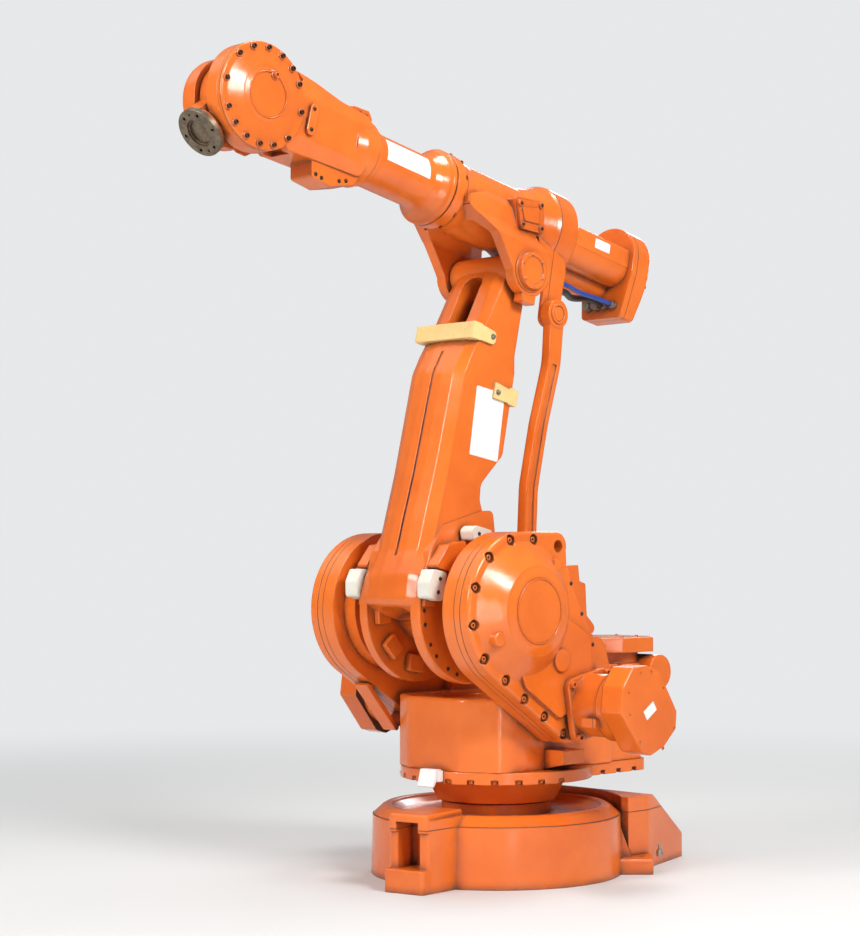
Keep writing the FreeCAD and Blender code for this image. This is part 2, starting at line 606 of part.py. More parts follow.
def strap(edge, foot, run):
    """Soft bumper across the arm's front (run 1) or back (run -1), with two ears."""
    low, high = sorted((edge - run * 20.0, edge + run * STRAP_THICK))
    bar = slab([(low, foot, 4), (high, foot, 4), (high, foot + STRAP_TALL, 4),
                (low, foot + STRAP_TALL, 4)], "Y", -STRAP_HALF, STRAP_HALF)
    ear_low, ear_high = sorted((edge - run * 92.0, edge + run * 4.0))
    ear = slab([(ear_low, foot + 4, 16), (ear_high, foot + 2, 4), (ear_high, foot + STRAP_TALL, 4),
                (ear_low, foot + STRAP_TALL - 10, 16)], "Y", ARM_HALF, STRAP_HALF)
    return joined(bar, ear, mirrored(ear)).cut(LOWER)


def damper_pair():
    """Left dampers: one facing forward, one facing up, on their brackets."""
    inner = CHEEK_HALF
    front = slab([(196, -12, 14), (256, -12, 14), (268, 36, 20), (256, 84, 14),
                  (196, 84, 10)], "Y", inner, DAMPER_OUT)
    upper = slab([(4, 214, 10), (96, 214, 10), (110, 244, 14), (92, 264, 12),
                  (22, 264, 12), (2, 246, 8)], "Y", inner, DAMPER_OUT)
    return Part.makeCompound([front, upper])


def damper_ring():
    """Ring with the pockets that hold the left dampers."""
    ring = disc("Y", 0, 0, CHEEK_R - 12, CHEEK_HALF, CHEEK_HALF + 14)
    ring = ring.cut(disc("Y", 0, 0, CHEEK_R - 64, CHEEK_HALF - 1, CHEEK_HALF + 15))
    arm_side = slab([(0, 0), (400, -60), (400, 400), (-60, 400)], "Y",
                    CHEEK_HALF - 1, CHEEK_HALF + 15)
    clamp = slab([(150, 92, 6), (240, 92, 8), (196, 176, 10), (120, 206, 8), (110, 150, 8)],
                 "Y", CHEEK_HALF, CHEEK_HALF + 46)
    return joined(ring.common(arm_side), clamp).cut(damper_pair())


def tube_along(points, radius):
    """Round tube through points, straight runs joined by tangent arcs."""
    points = [Vector(*p) for p in points]
    edges, start = [], points[0]
    for before, corner, after in zip(points, points[1:], points[2:]):
        back, ahead = before - corner, after - corner
        reach = 0.45 * min(back.Length, ahead.Length)
        back.normalize()
        ahead.normalize()
        half = back.getAngle(ahead) / 2
        bend = reach * math.tan(half)
        middle = back + ahead
        middle.normalize()
        arc_mid = corner + middle * (bend / math.sin(half) - bend)
        first, last = corner + back * reach, corner + ahead * reach
        edges.append(Part.LineSegment(start, first).toShape())
        edges.append(Part.Arc(first, arc_mid, last).toShape())
        print("   bend radius %.0f" % bend)
        start = last
    edges.append(Part.LineSegment(start, points[-1]).toShape())
    path = Part.Wire(edges)
    ring = Part.Wire(Part.makeCircle(radius, points[0], points[1] - points[0]))
    return path.makePipeShell([ring], True, True)


def arm_hoses():
    """Hoses in the slot of the lower arm: two thick black, one thin."""
    runs = []
    for y, radius, deep in ((-24, 13, 44), (10, 13, 48), (33, 7, 60)):
        runs.append(tube_along([(deep - 10, y, LOWER_ARM - 314), (deep + 4, y, LOWER_ARM - 236),
                                (deep - 6, y, LOWER_ARM - 156),
                                (deep - 26, y, LOWER_ARM - 96)], radius))
    return runs


# ---- Crank and rod -------------------------------------------------------


def crank():
    """Disc about axis 2 with the eye that drives the rod."""
    inner = ROD_OUT + GAP
    plate = disc("Y", 0, 0, CRANK_R, inner, CRANK_OUT)
    eye = disc("Y", -CRANK_BACK, -CRANK_DROP, CRANK_EYE_R, inner, CRANK_OUT)
    reach = math.hypot(CRANK_BACK, CRANK_DROP)
    web_turn = math.degrees(math.atan2(-CRANK_DROP, -CRANK_BACK))
    web = box(0, reach, -CRANK_EYE_R, CRANK_EYE_R, inner, CRANK_OUT)
    web.rotate(Vector(0, 0, 0), Vector(0, 0, 1), web_turn)
    web.rotate(Vector(0, 0, 0), Vector(1, 0, 0), 90)
    web.translate(Vector(0, inner + CRANK_OUT, 0))
    pin = disc("Y", -CRANK_BACK, -CRANK_DROP, PIN_R, ROD_IN, inner + 2)
    return joined(plate, eye, web, pin)


def rod_line():
    """Sideways bend of the rod's middle, from the lower pin to the upper."""
    return [(0, 0), (-ROD_BEND * 0.5, 150), (-ROD_BEND, 370), (4, 560), (0, 780),
            (-ROD_BEND * 0.8, LOWER_ARM - 176), (0, LOWER_ARM)]


def parallel_rod():
    """Bent flat bar with an eye at each pin and a flute along its side."""
    half = ROD_WIDE / 2
    line = rod_line()
    left = [(x - half, z, 260) for x, z in line[1:-1]]
    right = [(x + half, z, 260) for x, z in line[1:-1]]
    ends = [(-half * 0.8, 0), (half * 0.8, 0)]
    tops = [(half * 1.15, LOWER_ARM), (-half * 1.15, LOWER_ARM)]
    bar = slab(ends + right + tops + left[::-1], "Y", ROD_IN + 2, ROD_OUT - 2)
    flute = slab([(x - 11, z) for x, z in line[1:-1]]
                 + [(x + 11, z) for x, z in line[1:-1]][::-1], "Y", ROD_OUT - 8, ROD_OUT)
    eyes = [disc("Y", 0, z, ROD_EYE_R, ROD_IN, ROD_OUT) for z in (0, LOWER_ARM)]
    bores = [disc("Y", 0, z, PIN_R + 0.05, ROD_IN - 1, ROD_OUT + 1) for z in (0, LOWER_ARM)]
    return joined(bar.cut(flute), *eyes).cut(Part.makeCompound(bores))


# ---- Elbow, drawn level with axis 4 as its X axis ------------------------


def lug_outline():
    """Side view of one elbow lug with its eye about axis 3."""
    return [(300, -20), (304, -52, 20), (242, -83, 60), (172, -120, 60),
            (135, -161, 60), (102, -199, 60), (26, -ELBOW_RISE - EYE_R + 2, 20),
            (-52, -ELBOW_RISE - 76, 20), (-90, -ELBOW_RISE - 32, 30), (-104, -ELBOW_RISE + 10, 30),
            (-98, -126, 30), (-40, -84, 30), (-40, 20), (120, 60)]


def elbow_lug():
    """Left lug and the shoulder that ties it to the body."""
    inner = LUG_OUT - LUG_THICK
    side = slab(lug_outline(), "Y", 40, LUG_OUT)
    eye = disc("Y", 0, -ELBOW_RISE, EYE_R, inner, LUG_OUT)
    section = slab([(30, 40), (104, 40), (138, 0, 30), (PAD_FACE, -66, 20),
                    (LUG_OUT, -116, 20), (LUG_OUT, -340), (inner, -340),
                    (inner, -116, 20), (108, -88, 20), (30, -88)], "X", -210, 350)
    return joined(side.common(section), eye)


def pad_outline(grow):
    """Four-cornered pad on the left of the elbow."""
    return [(84 + grow, 31 + grow, 12), (-45 - grow, 57 + grow, 12),
            (-61 - grow, -53 - grow, 12), (54 + grow, -67 - grow, 12)]


def elbow_housing():
    """Cast elbow: a round body, the bell at its back, two lugs and a bracket."""
    body = revolved([(0, BELL_TAIL), (BELL_R - 34, BELL_TAIL), (BELL_R - 6, BELL_BACK - 8),
                     (BELL_R, BELL_BACK), (BELL_R, BELL_FRONT - 6), (BELL_R - 8, BELL_FRONT + 6),
                     (138, -84), (ELBOW_R + 2, -20), (ELBOW_R, 246), (ELBOW_R + 8, 286),
                     (SEAM_R, 308), (SEAM_R, ELBOW_FRONT - 2), (SEAM_R - 2, ELBOW_FRONT),
                     (0, ELBOW_FRONT)], "X")
    spigot = disc("X", 0, 0, 100, ELBOW_FRONT - 2, ELBOW_FRONT + GAP - PIN_GAP)
    top = slab([(-52, 80, 14), (52, 80, 14), (46, 113, 12), (-46, 113, 12)], "X", -90, 292)
    lug = elbow_lug()
    pin_z = -ELBOW_RISE - CRANK_DROP
    bracket = slab([(-60, -60), (-118, -ELBOW_RISE - 40, 30), (-CRANK_BACK + 40, pin_z - 40, 30),
                    (-CRANK_BACK - 20, pin_z - 48, 30), (-CRANK_BACK - 50, pin_z, 30),
                    (-CRANK_BACK - 60, -140, 40), (-BELL_R - 40, -100)],
                   "Y", BRACKET_IN, ROD_IN - GAP)
    pad = slab(pad_outline(6), "Y", 60, PAD_FACE)
    seat = slab(pad_outline(6), "Y", PAD_FACE, LUG_OUT)
    inner = LUG_OUT - LUG_THICK
    tab = box(-128, -66, inner, inner + 12, -ELBOW_RISE - 14, -ELBOW_RISE + 36)
    return joined(body, spigot, top, lug, mirrored(lug), bracket, pad, tab).cut(seat)


def pin_cap():
    """Cap over the left end of the axis 3 pin."""
    cap = disc("Y", 0, -ELBOW_RISE, PIN_CAP_R, LUG_OUT, LUG_OUT + PIN_CAP_TALL)
    ring = disc("Y", 0, -ELBOW_RISE, PIN_CAP_R + 10, LUG_OUT, LUG_OUT + 4)
    dish = disc("Y", 0, -ELBOW_RISE, PIN_CAP_R - 16, LUG_OUT + PIN_CAP_TALL - 3,
                LUG_OUT + PIN_CAP_TALL + 1)
    return joined(cap, ring).cut(dish)


def rod_pin():
    """Pin of the rod's upper eye, held by the elbow's bracket."""
    x, z = -CRANK_BACK, -ELBOW_RISE - CRANK_DROP
    return disc("Y", x, z, PIN_R, ROD_IN - GAP, ROD_OUT)


def elbow_cover_plate():
    """Raised cover on the left of the elbow, with a screw at each corner."""
    face = PAD_FACE + 12
    plate = slab(pad_outline(0), "Y", PAD_FACE, face)
    pads = [disc("Y", x, z, 11, face, face + 6)
            for x, z in ((70, 17), (-32, 41), (-46, -39), (48, -51))]
    window = slab([(62, 7, 6), (-22, 27, 6), (-34, -27, 6), (42, -37, 6)], "Y", face, face + 5)
    return joined(plate, window, *pads)


def elbow_stop():
    """Square stop under the left lug."""
    low = -ELBOW_RISE - EYE_R
    return box(-44, 20, LUG_OUT - LUG_THICK, LUG_OUT, low - 26, low + 40).cut(ELBOW_BODY)


def axis_4_motor():
    """Round motor low on the right, between the bell and the end housing."""
    return disc("X", -52, -66, 62, END_FRONT, BELL_TAIL)


def rear_motor_box():
    """Motor with a flat-sided box over its round body, on the left."""
    top, side = REAR_BOX_TOP, REAR_BOX_SIDE
    cover = slab([(side - 146, -8, 4), (side, -8, 3), (side, top, 10), (side - 146, top, 10)],
                 "X", END_FRONT, BELL_TAIL)
    return joined(cover, disc("X", side - 72, -4, 70, END_FRONT, BELL_TAIL)).cut(LOW_MOTOR)


def rear_end_housing():
    """Gear housing at the tail: an arch above, drawn in below and at the back."""
    arch_z = 36.0
    section = slab([(-END_HALF + 26, -192, 18), (END_HALF - 34, -192, 18), (END_HALF, -20, 30),
                    (END_HALF, arch_z), (-END_HALF, arch_z), (-END_HALF, -20, 30)],
                   "X", END_BACK, END_FRONT)
    arch = disc("X", 0, arch_z, END_HALF, END_BACK, END_FRONT)
    side = slab([(END_FRONT, -210), (END_FRONT, 200), (END_BACK + 26, 200),
                 (END_BACK, arch_z + END_HALF - 26, 20), (END_BACK, -30, 20),
                 (END_BACK + 30, -210)], "Y", -END_HALF - 1, END_HALF + 1)
    shell = round_rim(joined(section, arch), "X", END_BACK, 14)
    return shell.common(side)


FITTING_Y = (52.0, 14.0, -24.0, -64.0)
FITTING_Z = -146.0
FITTING_LONG = 26.0


def hose_fittings():
    """Row of hose ends on the front of the end housing."""
    return [joined(disc("X", y, FITTING_Z, 14, END_FRONT, END_FRONT + FITTING_LONG),
                   disc("X", y, FITTING_Z, 17, END_FRONT, END_FRONT + 9))
            for y in FITTING_Y]


def tail_hose(fitting_y, radius, sag, end_y, end_z):
    """Hose from its fitting forward to behind the left lug."""
    start = END_FRONT + FITTING_LONG
    return tube_along([(start, fitting_y, FITTING_Z), (start + 80, fitting_y, FITTING_Z),
                       (start + 180, fitting_y + 12, FITTING_Z - sag * 0.7),
                       (start + 290, end_y - 22, FITTING_Z - sag),
                       (start + 380, end_y, end_z), (-128, end_y, end_z)], radius)


# ---- Forearm and wrist ---------------------------------------------------


def forearm_tube():
    start = ELBOW_FRONT + GAP
    return revolved([(0, start), (SEAM_R - 2, start), (SEAM_R, start + 2),
                     (SEAM_R, start + 14), (SEAM_R - 12, start + 24),
                     (TUBE_COLLAR_R, start + 46), (TUBE_R + 4, start + 66),
                     (TUBE_R, start + 90), (TUBE_R, WRIST_SEAM - 26),
                     (TUBE_R + 8, WRIST_SEAM - 20), (TUBE_R + 8, WRIST_SEAM),
                     (0, WRIST_SEAM)], "X")


def behind(degrees, reach, half):
    """Wedge that opens backward from axis 5, past the given angles."""
    x, z = on_circle(reach, degrees)
    return slab([(0, 0), (x, -z), (x, z)], "Y", -half, half)


def wrist_housing():
    """Cast wrist: a collar on the tube, a neck and the two discs of a fork."""
    back = -WRIST_LONG
    far = FAR_OUT - FAR_COVER
    collar = revolved([(0, back), (TUBE_R + 14, back), (TUBE_R + 22, back + 10),
                       (TUBE_R + 22, back + 60), (TUBE_R + 10, back + 96), (0, back + 96)], "X")
    neck = slab([(back + 40, 104, 20), (-345, 112, 60), (-235, 140, 60),
                 (-60, WRIST_DISC_R - 4), (0, 0), (-60, 4 - WRIST_DISC_R),
                 (-110, -140, 60), (-170, -112, 60), (back + 40, -100, 20)],
                "Y", -far, NEAR_SPLIT)
    keel = 18 - WRIST_DISC_R
    section = slab([(-far, -60, 50), (-46, keel, 40), (46, keel, 40),
                    (NEAR_SPLIT, -60, 40), (NEAR_SPLIT, 66, 40), (50, WRIST_DISC_R, 40),
                    (-50, WRIST_DISC_R, 40), (-far, 66, 50)], "X", back + 30, 5)
    neck = neck.common(section)
    near = disc("Y", 0, 0, WRIST_DISC_R, FORK_IN, NEAR_SPLIT)
    far_disc = disc("Y", 0, 0, WRIST_FAR_R, -far, -FORK_IN)
    ridge = slab([(-384, 90, 10), (-404, 124, 10), (-478, 130, 10), (-504, 96, 10)],
                 "Y", -30, 62)
    under = slab([(-262, -80), (-276, -160, 12), (-362, -166, 12), (-456, -130, 12), (-488, -70)],
                 "Y", -34, 66)
    body = joined(collar, neck, near, far_disc, ridge, under)
    reach = math.hypot(FLANGE_REACH, TOOL_R) + GAP
    saddle_r = TILT_R + 2 * GAP
    neck_swing = TILT_LIMIT + math.degrees(math.asin(NECK_R / saddle_r))
    tool_swing = TILT_LIMIT + math.degrees(math.atan2(TOOL_R, FLANGE_REACH - TOOL_THICK))
    saddle = behind(neck_swing + 2, 3 * reach, FORK_IN)
    saddle = saddle.cut(disc("Y", 0, 0, saddle_r, -FORK_IN, FORK_IN))
    bay = disc("Y", 0, 0, reach, -FORK_IN, FORK_IN).cut(saddle)
    path = disc("Y", 0, 0, reach, -WRIST_DISC_R, WRIST_DISC_R)
    path = path.cut(disc("Y", 0, 0, WRIST_DISC_R, -WRIST_DISC_R, WRIST_DISC_R))
    path = path.cut(behind(tool_swing + 2, 3 * reach, WRIST_DISC_R))
    return body.cut(bay).cut(path)


def wrist_screws():
    """Angles of the screws round the left wrist cover."""
    return (38, 62, 85, 107, 127, 147, 180, -140, -115, -94, -73, -52, -32, 1)


def wrist_near_cover():
    """Dished round cover on the left of the wrist."""
    rim = disc("Y", 0, 0, WRIST_DISC_R, NEAR_SPLIT, NEAR_RIM - 4)
    rim = round_rim(rim, "Y", NEAR_RIM - 4, 6)
    dome = cone("Y", 0, 0, NEAR_RIM - 6, WRIST_DISC_R - 18, NEAR_FACE - 5, 92)
    face = cone("Y", 0, 0, NEAR_FACE - 6, 90, NEAR_FACE, 76)
    pads = [disc("Y", *on_circle(WRIST_DISC_R - 16, a), 12, NEAR_SPLIT, NEAR_RIM)
            for a in wrist_screws()]
    plug = disc("Y", *on_circle(68, 101), 15, NEAR_RIM, NEAR_FACE + 3)
    return joined(rim, dome, face, plug, *pads)


def wrist_far_cover():
    cover = disc("Y", 0, 0, WRIST_FAR_R - 3, -FAR_OUT, -FAR_OUT + FAR_COVER)
    return round_rim(cover, "Y", -FAR_OUT, 8)


def wrist_side_cover():
    """Small cover with two screws on the left of the wrist's neck."""
    near = WRIST_DISC_R + 24
    return slab([(-near - 4, 52, 18), (-near - 40, 52, 18), (-near - 36, -52, 18),
                 (-near, -52, 18)], "Y", NEAR_SPLIT, NEAR_SPLIT + 12)


def tilt_housing():
    """Tilting head in the fork, with a neck out to the tool flange."""
    head = disc("Y", 0, 0, TILT_R, -TILT_HALF, TILT_HALF)
    neck = slab([(0, -NECK_R + 6), (WRIST_DISC_R + 10, -NECK_R + 4),
                 (WRIST_DISC_R + 10, NECK_R - 4), (0, NECK_R - 6)],
                "Y", -TILT_HALF, TILT_HALF)
    end = FLANGE_REACH - TOOL_THICK - PIN_GAP
    collar = disc("X", 0, 0, NECK_R, WRIST_DISC_R + GAP + 1, end)
    return joined(head, neck, collar)


def tool_flange():
    """Machined ring with its tapped holes, bore and two dowel holes."""
    back = FLANGE_REACH - TOOL_THICK
    ring = disc("X", 0, 0, TOOL_R, back, FLANGE_REACH)
    ring = round_rim(ring, "X", FLANGE_REACH, 1.5)
    ring = ring.cut(disc("X", 0, 0, TOOL_BORE_R, back + 4, FLANGE_REACH + 1))
    step = disc("X", 0, 0, TOOL_BORE_R + 6, FLANGE_REACH - 5, FLANGE_REACH + 1)
    holes = []
    for i in range(TOOL_HOLES):
        y, z = on_circle(TOOL_PCD / 2, 360.0 * i / TOOL_HOLES)
        holes.append(disc("X", y, z, TOOL_HOLE_R, back - 1, FLANGE_REACH + 1))
    for degrees in (90, 270):
        y, z = on_circle(TOOL_PCD / 2, degrees)
        holes.append(disc("X", y, z, TOOL_PIN_R, back + 4, FLANGE_REACH + 1))
    return ring.cut(step).cut(Part.makeCompound(holes))


# ---- Build every node ----------------------------------------------------

CASTING = base_casting()
FLANGE = turret_flange()
FRAME = turret_frame()
HOUSING = gear_housing()
COVER = gear_cover()
LOWER = lower_arm()
ELBOW_BODY = elbow_housing()
LOW_MOTOR = axis_4_motor()

save("base_casting", CASTING)
save("base_rear_box", base_rear_box(CASTING))
save("base_connector_panel", base_connector_panel())
save("base_ground_stud", base_ground_stud())

save("turret_flange", FLANGE)
save("turret_frame", FRAME)
save("turret_stop_block", stop_block())
save("turret_scale_plate", scale_plate())
save("turret_cable_bracket", cable_bracket(), SHOULDER)
save("axis_1_motor", spin_motor())
save("axis_1_motor_cover", spin_motor_cover())
for name, piece in (("gear_housing", HOUSING), ("gear_cover", COVER),
                    ("motor", side_motor()), ("motor_cover", side_motor_cover())):
    save("left_" + name, piece, SHOULDER)
    save("right_" + name, mirrored(piece), SHOULDER)
save("right_output_drum", output_drum(), SHOULDER)

save("lower_arm_casting", LOWER, ARM)
save("front_bumper_strap", strap(160.0, LOWER_ARM - 286, 1.0), ARM)
save("rear_bumper_strap", strap(-55.0, LOWER_ARM - 460, -1.0), ARM)
for name, piece in (("dampers", damper_pair()), ("damper_ring", damper_ring())):
    save("left_" + name, piece, ARM)
    save("right_" + name, mirrored(piece), ARM)
save("arm_hoses", Part.makeCompound(arm_hoses()), ARM)

save("axis_3_crank", crank(), CRANK)
save("parallel_rod", parallel_rod(), ROD)

save("elbow_housing", ELBOW_BODY, ELBOW)
save("elbow_cover_plate", elbow_cover_plate(), ELBOW)
save("elbow_stop_block", elbow_stop(), ELBOW)
save("rod_pin", rod_pin(), ELBOW)
save("left_pin_cap", pin_cap(), ELBOW)
save("right_pin_cap", mirrored(pin_cap()), ELBOW)
save("axis_4_motor", LOW_MOTOR, ELBOW)
save("rear_motor_box", rear_motor_box(), ELBOW)
save("rear_end_housing", rear_end_housing(), ELBOW)
save("hose_fittings", Part.makeCompound(hose_fittings()), ELBOW)
save("blue_tail_hose", tail_hose(FITTING_Y[0], 8.0, 18.0, 122.0, -182.0), ELBOW)
save("black_tail_hose", tail_hose(FITTING_Y[1], 12.0, 44.0, 116.0, -212.0), ELBOW)

save("forearm_tube", forearm_tube(), ELBOW)
save("wrist_housing", wrist_housing(), WRIST)
save("wrist_near_cover", wrist_near_cover(), WRIST)
save("wrist_far_cover", wrist_far_cover(), WRIST)
save("wrist_side_cover", wrist_side_cover(), WRIST)
save("wrist_tilt_head", tilt_housing(), TILT)
save("tool_flange", tool_flange(), TILT)
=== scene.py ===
# %% [markdown]
# # An orange industrial robot arm
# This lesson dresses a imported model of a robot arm: glossy paint over cast
# iron, screws in pockets, soft bumpers, hoses and a machined tool flange.
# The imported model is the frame. It gives every piece its size and its place,
# so the lesson only adds what casting, painting and assembly leave behind.

# %% Load the frame
import json
import math
import bmesh
import bpy
from mathutils import Euler, Matrix, Vector


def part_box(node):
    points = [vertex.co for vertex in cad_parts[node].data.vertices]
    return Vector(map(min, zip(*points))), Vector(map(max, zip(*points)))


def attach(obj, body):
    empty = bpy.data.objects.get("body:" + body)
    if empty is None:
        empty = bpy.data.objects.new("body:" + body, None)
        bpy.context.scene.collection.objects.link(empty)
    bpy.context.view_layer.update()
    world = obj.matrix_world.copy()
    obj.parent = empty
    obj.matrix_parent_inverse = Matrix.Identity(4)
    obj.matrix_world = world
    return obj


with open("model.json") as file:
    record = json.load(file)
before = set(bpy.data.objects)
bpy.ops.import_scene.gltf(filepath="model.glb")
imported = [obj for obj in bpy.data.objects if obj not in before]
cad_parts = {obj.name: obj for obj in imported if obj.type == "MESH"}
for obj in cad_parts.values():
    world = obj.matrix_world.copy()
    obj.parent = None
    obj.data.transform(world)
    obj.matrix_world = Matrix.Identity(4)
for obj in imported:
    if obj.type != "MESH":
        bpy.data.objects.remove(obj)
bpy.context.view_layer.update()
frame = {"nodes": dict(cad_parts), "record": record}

# %% [markdown]
# ## Working frames
# Each part of the arm is easiest to describe in its own frame, with its joint
# at the origin, X along the part and Z across it. The joints are in the
# record, so the frames follow the model if its stance changes. Lengths are
# written in millimetres, the way a workshop drawing has them.

# %% Joint frames
MM = 0.001
JOINTS = {joint["name"]: joint for joint in frame["record"]["behaviour"]["joints"]}


def anchor(joint):
    return Vector(JOINTS[joint]["pos_m"])


def pitch_of(direction):
    return math.atan2(-direction[2], direction[0])


def part_frame(origin, pitch):
    return Matrix.Translation(origin) @ Matrix.Rotation(pitch, 4, "Y") @ Matrix.Scale(MM, 4)


rise = anchor("axis_3") - anchor("axis_2")
arm_lean = math.atan2(rise.x, rise.z)
WORLD = Matrix.Scale(MM, 4)
SHOULDER = part_frame(anchor("axis_2"), 0)
ARM = part_frame(anchor("axis_2"), arm_lean)
ELBOW = part_frame(anchor("axis_4"), pitch_of(JOINTS["axis_4"]["axis"]))
WRIST = part_frame(anchor("axis_5"), pitch_of(JOINTS["axis_4"]["axis"]))
TOOL = part_frame(anchor("axis_6"), pitch_of(JOINTS["axis_6"]["axis"]))
SIDES = (("left", 1, "+Y"), ("right", -1, "-Y"))


def ring_of(radius, angles):
    """Points of a circle in its own plane, at angles in degrees."""
    turns = [math.radians(angle) for angle in angles]
    return [(radius * math.cos(turn), radius * math.sin(turn)) for turn in turns]


print("lower arm leans", round(math.degrees(arm_lean), 2), "degrees")

# %% [markdown]
# ## The camera
# The arm is seen from its front left, from chest height, with a long lens.
# The camera tilts up by only about three degrees, so upright edges stay nearly
# parallel. A small lens shift does the rest of the framing.

# %% Camera
camera_data = bpy.data.cameras.new("studio_camera")
camera = bpy.data.objects.new("studio_camera", camera_data)
bpy.context.scene.collection.objects.link(camera)
bpy.context.scene.camera = camera
CAMERA_PLACE = (5.2115, 4.8520, 1.0788)
CAMERA_YAW, CAMERA_PITCH = 224.07, 3.2
LENS_MM = 79.03
LENS_SHIFT = (-0.0278, -0.0293)
camera.location = CAMERA_PLACE
camera.rotation_euler = Euler((math.radians(90 + CAMERA_PITCH), 0,
                               math.radians(CAMERA_YAW - 90)), "XYZ")
camera_data.sensor_width = 36
camera_data.lens = LENS_MM
camera_data.shift_x, camera_data.shift_y = LENS_SHIFT
camera_data.clip_end = 60
print("camera at", tuple(camera.location))

# %% [markdown]
# ## Floor and light
# Thick gloss paint shows its lights as long white streaks along every rounded
# edge. Large soft panels give those streaks: one high on the left, one in
# front, one above and one behind. A narrow strip stands low on the left. A
# wide sun and a pale sky fill the shadows.

# %% Floor
BACKDROP_TONE = (0.80, 0.81, 0.82, 1)
FLOOR_HALF = 60
FADE_FROM, FADE_TO = 1.6, 6.5      # metres from the middle
floor_form = bmesh.new()
bmesh.ops.create_grid(floor_form, x_segments=1, y_segments=1, size=FLOOR_HALF)
floor_mesh = bpy.data.meshes.new("studio_floor")
floor_form.to_mesh(floor_mesh)
floor_form.free()
floor = bpy.data.objects.new("studio_floor", floor_mesh)
bpy.context.scene.collection.objects.link(floor)
floor_material = bpy.data.materials.new("studio_floor")
floor_material.use_nodes = True
floor_paint = floor_material.node_tree.nodes["Principled BSDF"]
floor_paint.inputs["Base Color"].default_value = (0.60, 0.60, 0.59, 1)
floor_paint.inputs["Roughness"].default_value = 0.8
floor.data.materials.append(floor_material)
print("floor", floor.dimensions[:])

# %% Sky and backdrop
world = bpy.data.worlds.new("studio")
bpy.context.scene.world = world
world.use_nodes = True
sky = world.node_tree.nodes["Background"]
sky.inputs["Color"].default_value = (0.93, 0.96, 1.0, 1)
sky.inputs["Strength"].default_value = 0.24
backdrop = world.node_tree.nodes.new("ShaderNodeBackground")
backdrop.inputs["Color"].default_value = BACKDROP_TONE
chooser = world.node_tree.nodes.new("ShaderNodeMixShader")
rays = world.node_tree.nodes.new("ShaderNodeLightPath")
world_links = world.node_tree.links
world_links.new(rays.outputs["Is Camera Ray"], chooser.inputs["Fac"])
world_links.new(sky.outputs["Background"], chooser.inputs[1])
world_links.new(backdrop.outputs["Background"], chooser.inputs[2])
world_links.new(chooser.outputs[0], world.node_tree.nodes["World Output"].inputs["Surface"])
print("sky strength", sky.inputs["Strength"].default_value)

# %% Floor that fades into the backdrop
# Beyond a few metres the camera sees the backdrop's own tone on the floor,
# so that floor and backdrop meet without a line.
floor_nodes = floor_material.node_tree.nodes
floor_links = floor_material.node_tree.links
place_on_floor = floor_nodes.new("ShaderNodeTexCoord")
distance = floor_nodes.new("ShaderNodeVectorMath")
distance.operation = "LENGTH"
fade = floor_nodes.new("ShaderNodeMapRange")
fade.interpolation_type = "SMOOTHSTEP"
fade.inputs["From Min"].default_value = FADE_FROM
fade.inputs["From Max"].default_value = FADE_TO
camera_only = floor_nodes.new("ShaderNodeLightPath")
amount = floor_nodes.new("ShaderNodeMath")
amount.operation = "MULTIPLY"
far_tone = floor_nodes.new("ShaderNodeEmission")
far_tone.inputs["Color"].default_value = BACKDROP_TONE
far_mix = floor_nodes.new("ShaderNodeMixShader")
floor_links.new(place_on_floor.outputs["Object"], distance.inputs[0])
floor_links.new(distance.outputs["Value"], fade.inputs["Value"])
floor_links.new(fade.outputs["Result"], amount.inputs[0])
floor_links.new(camera_only.outputs["Is Camera Ray"], amount.inputs[1])
floor_links.new(amount.outputs["Value"], far_mix.inputs["Fac"])
floor_links.new(floor_paint.outputs["BSDF"], far_mix.inputs[1])
floor_links.new(far_tone.outputs["Emission"], far_mix.inputs[2])
floor_links.new(far_mix.outputs[0], floor_nodes["Material Output"].inputs["Surface"])
print("floor fades over", FADE_FROM, "to", FADE_TO, "m")


# %% Light panels
def light_panel(name, place, target, size, power):
    lamp = bpy.data.lights.new(name, "AREA")
    lamp.shape = "RECTANGLE"
    lamp.size, lamp.size_y = size
    lamp.energy = power
    panel = bpy.data.objects.new(name, lamp)
    panel.location = place
    panel.rotation_euler = (Vector(target) - Vector(place)).to_track_quat("-Z", "Y").to_euler()
    bpy.context.scene.collection.objects.link(panel)


CHEST = (0.2, 0, 1.3)
light_panel("panel_left", (0.8, 5.4, 4.6), CHEST, (2.2, 1.4), 340)
light_panel("panel_front", (6.2, -0.6, 4.0), CHEST, (1.2, 2.8), 265)
light_panel("panel_top", (-0.4, 0.4, 6.2), (0.0, 0.0, 0.0), (2.2, 1.2), 120)
light_panel("panel_back", (-5.5, -3.5, 3.6), (0, 0, 1.3), (2.0, 2.0), 80)
sunlight = bpy.data.lights.new("ceiling_glow", "SUN")
sunlight.energy = 0.9
sunlight.angle = 1.2
ceiling = bpy.data.objects.new("ceiling_glow", sunlight)
ceiling.rotation_euler = (math.radians(18), math.radians(14), 0)
bpy.context.scene.collection.objects.link(ceiling)
light_panel("strip_left", (2.6, 3.9, 0.9), (0.3, 0.2, 1.2), (0.25, 2.2), 22)
bpy.context.scene.view_settings.view_transform = "Standard"
print("panels:", [lamp.name for lamp in bpy.data.lights])

# %% [markdown]
# ## Node helpers
# A material here is a small graph: patterns make masks, masks choose colours
# and roughness, and one shader ends the graph. Writing a link as a sentence
# keeps the graphs readable, so two short helpers add a node and join sockets.


# %% Node helpers
def add_node(tree, kind, **settings):
    node = tree.nodes.new("ShaderNode" + kind)
    for name, value in settings.items():
        setattr(node, name, value)
    return node


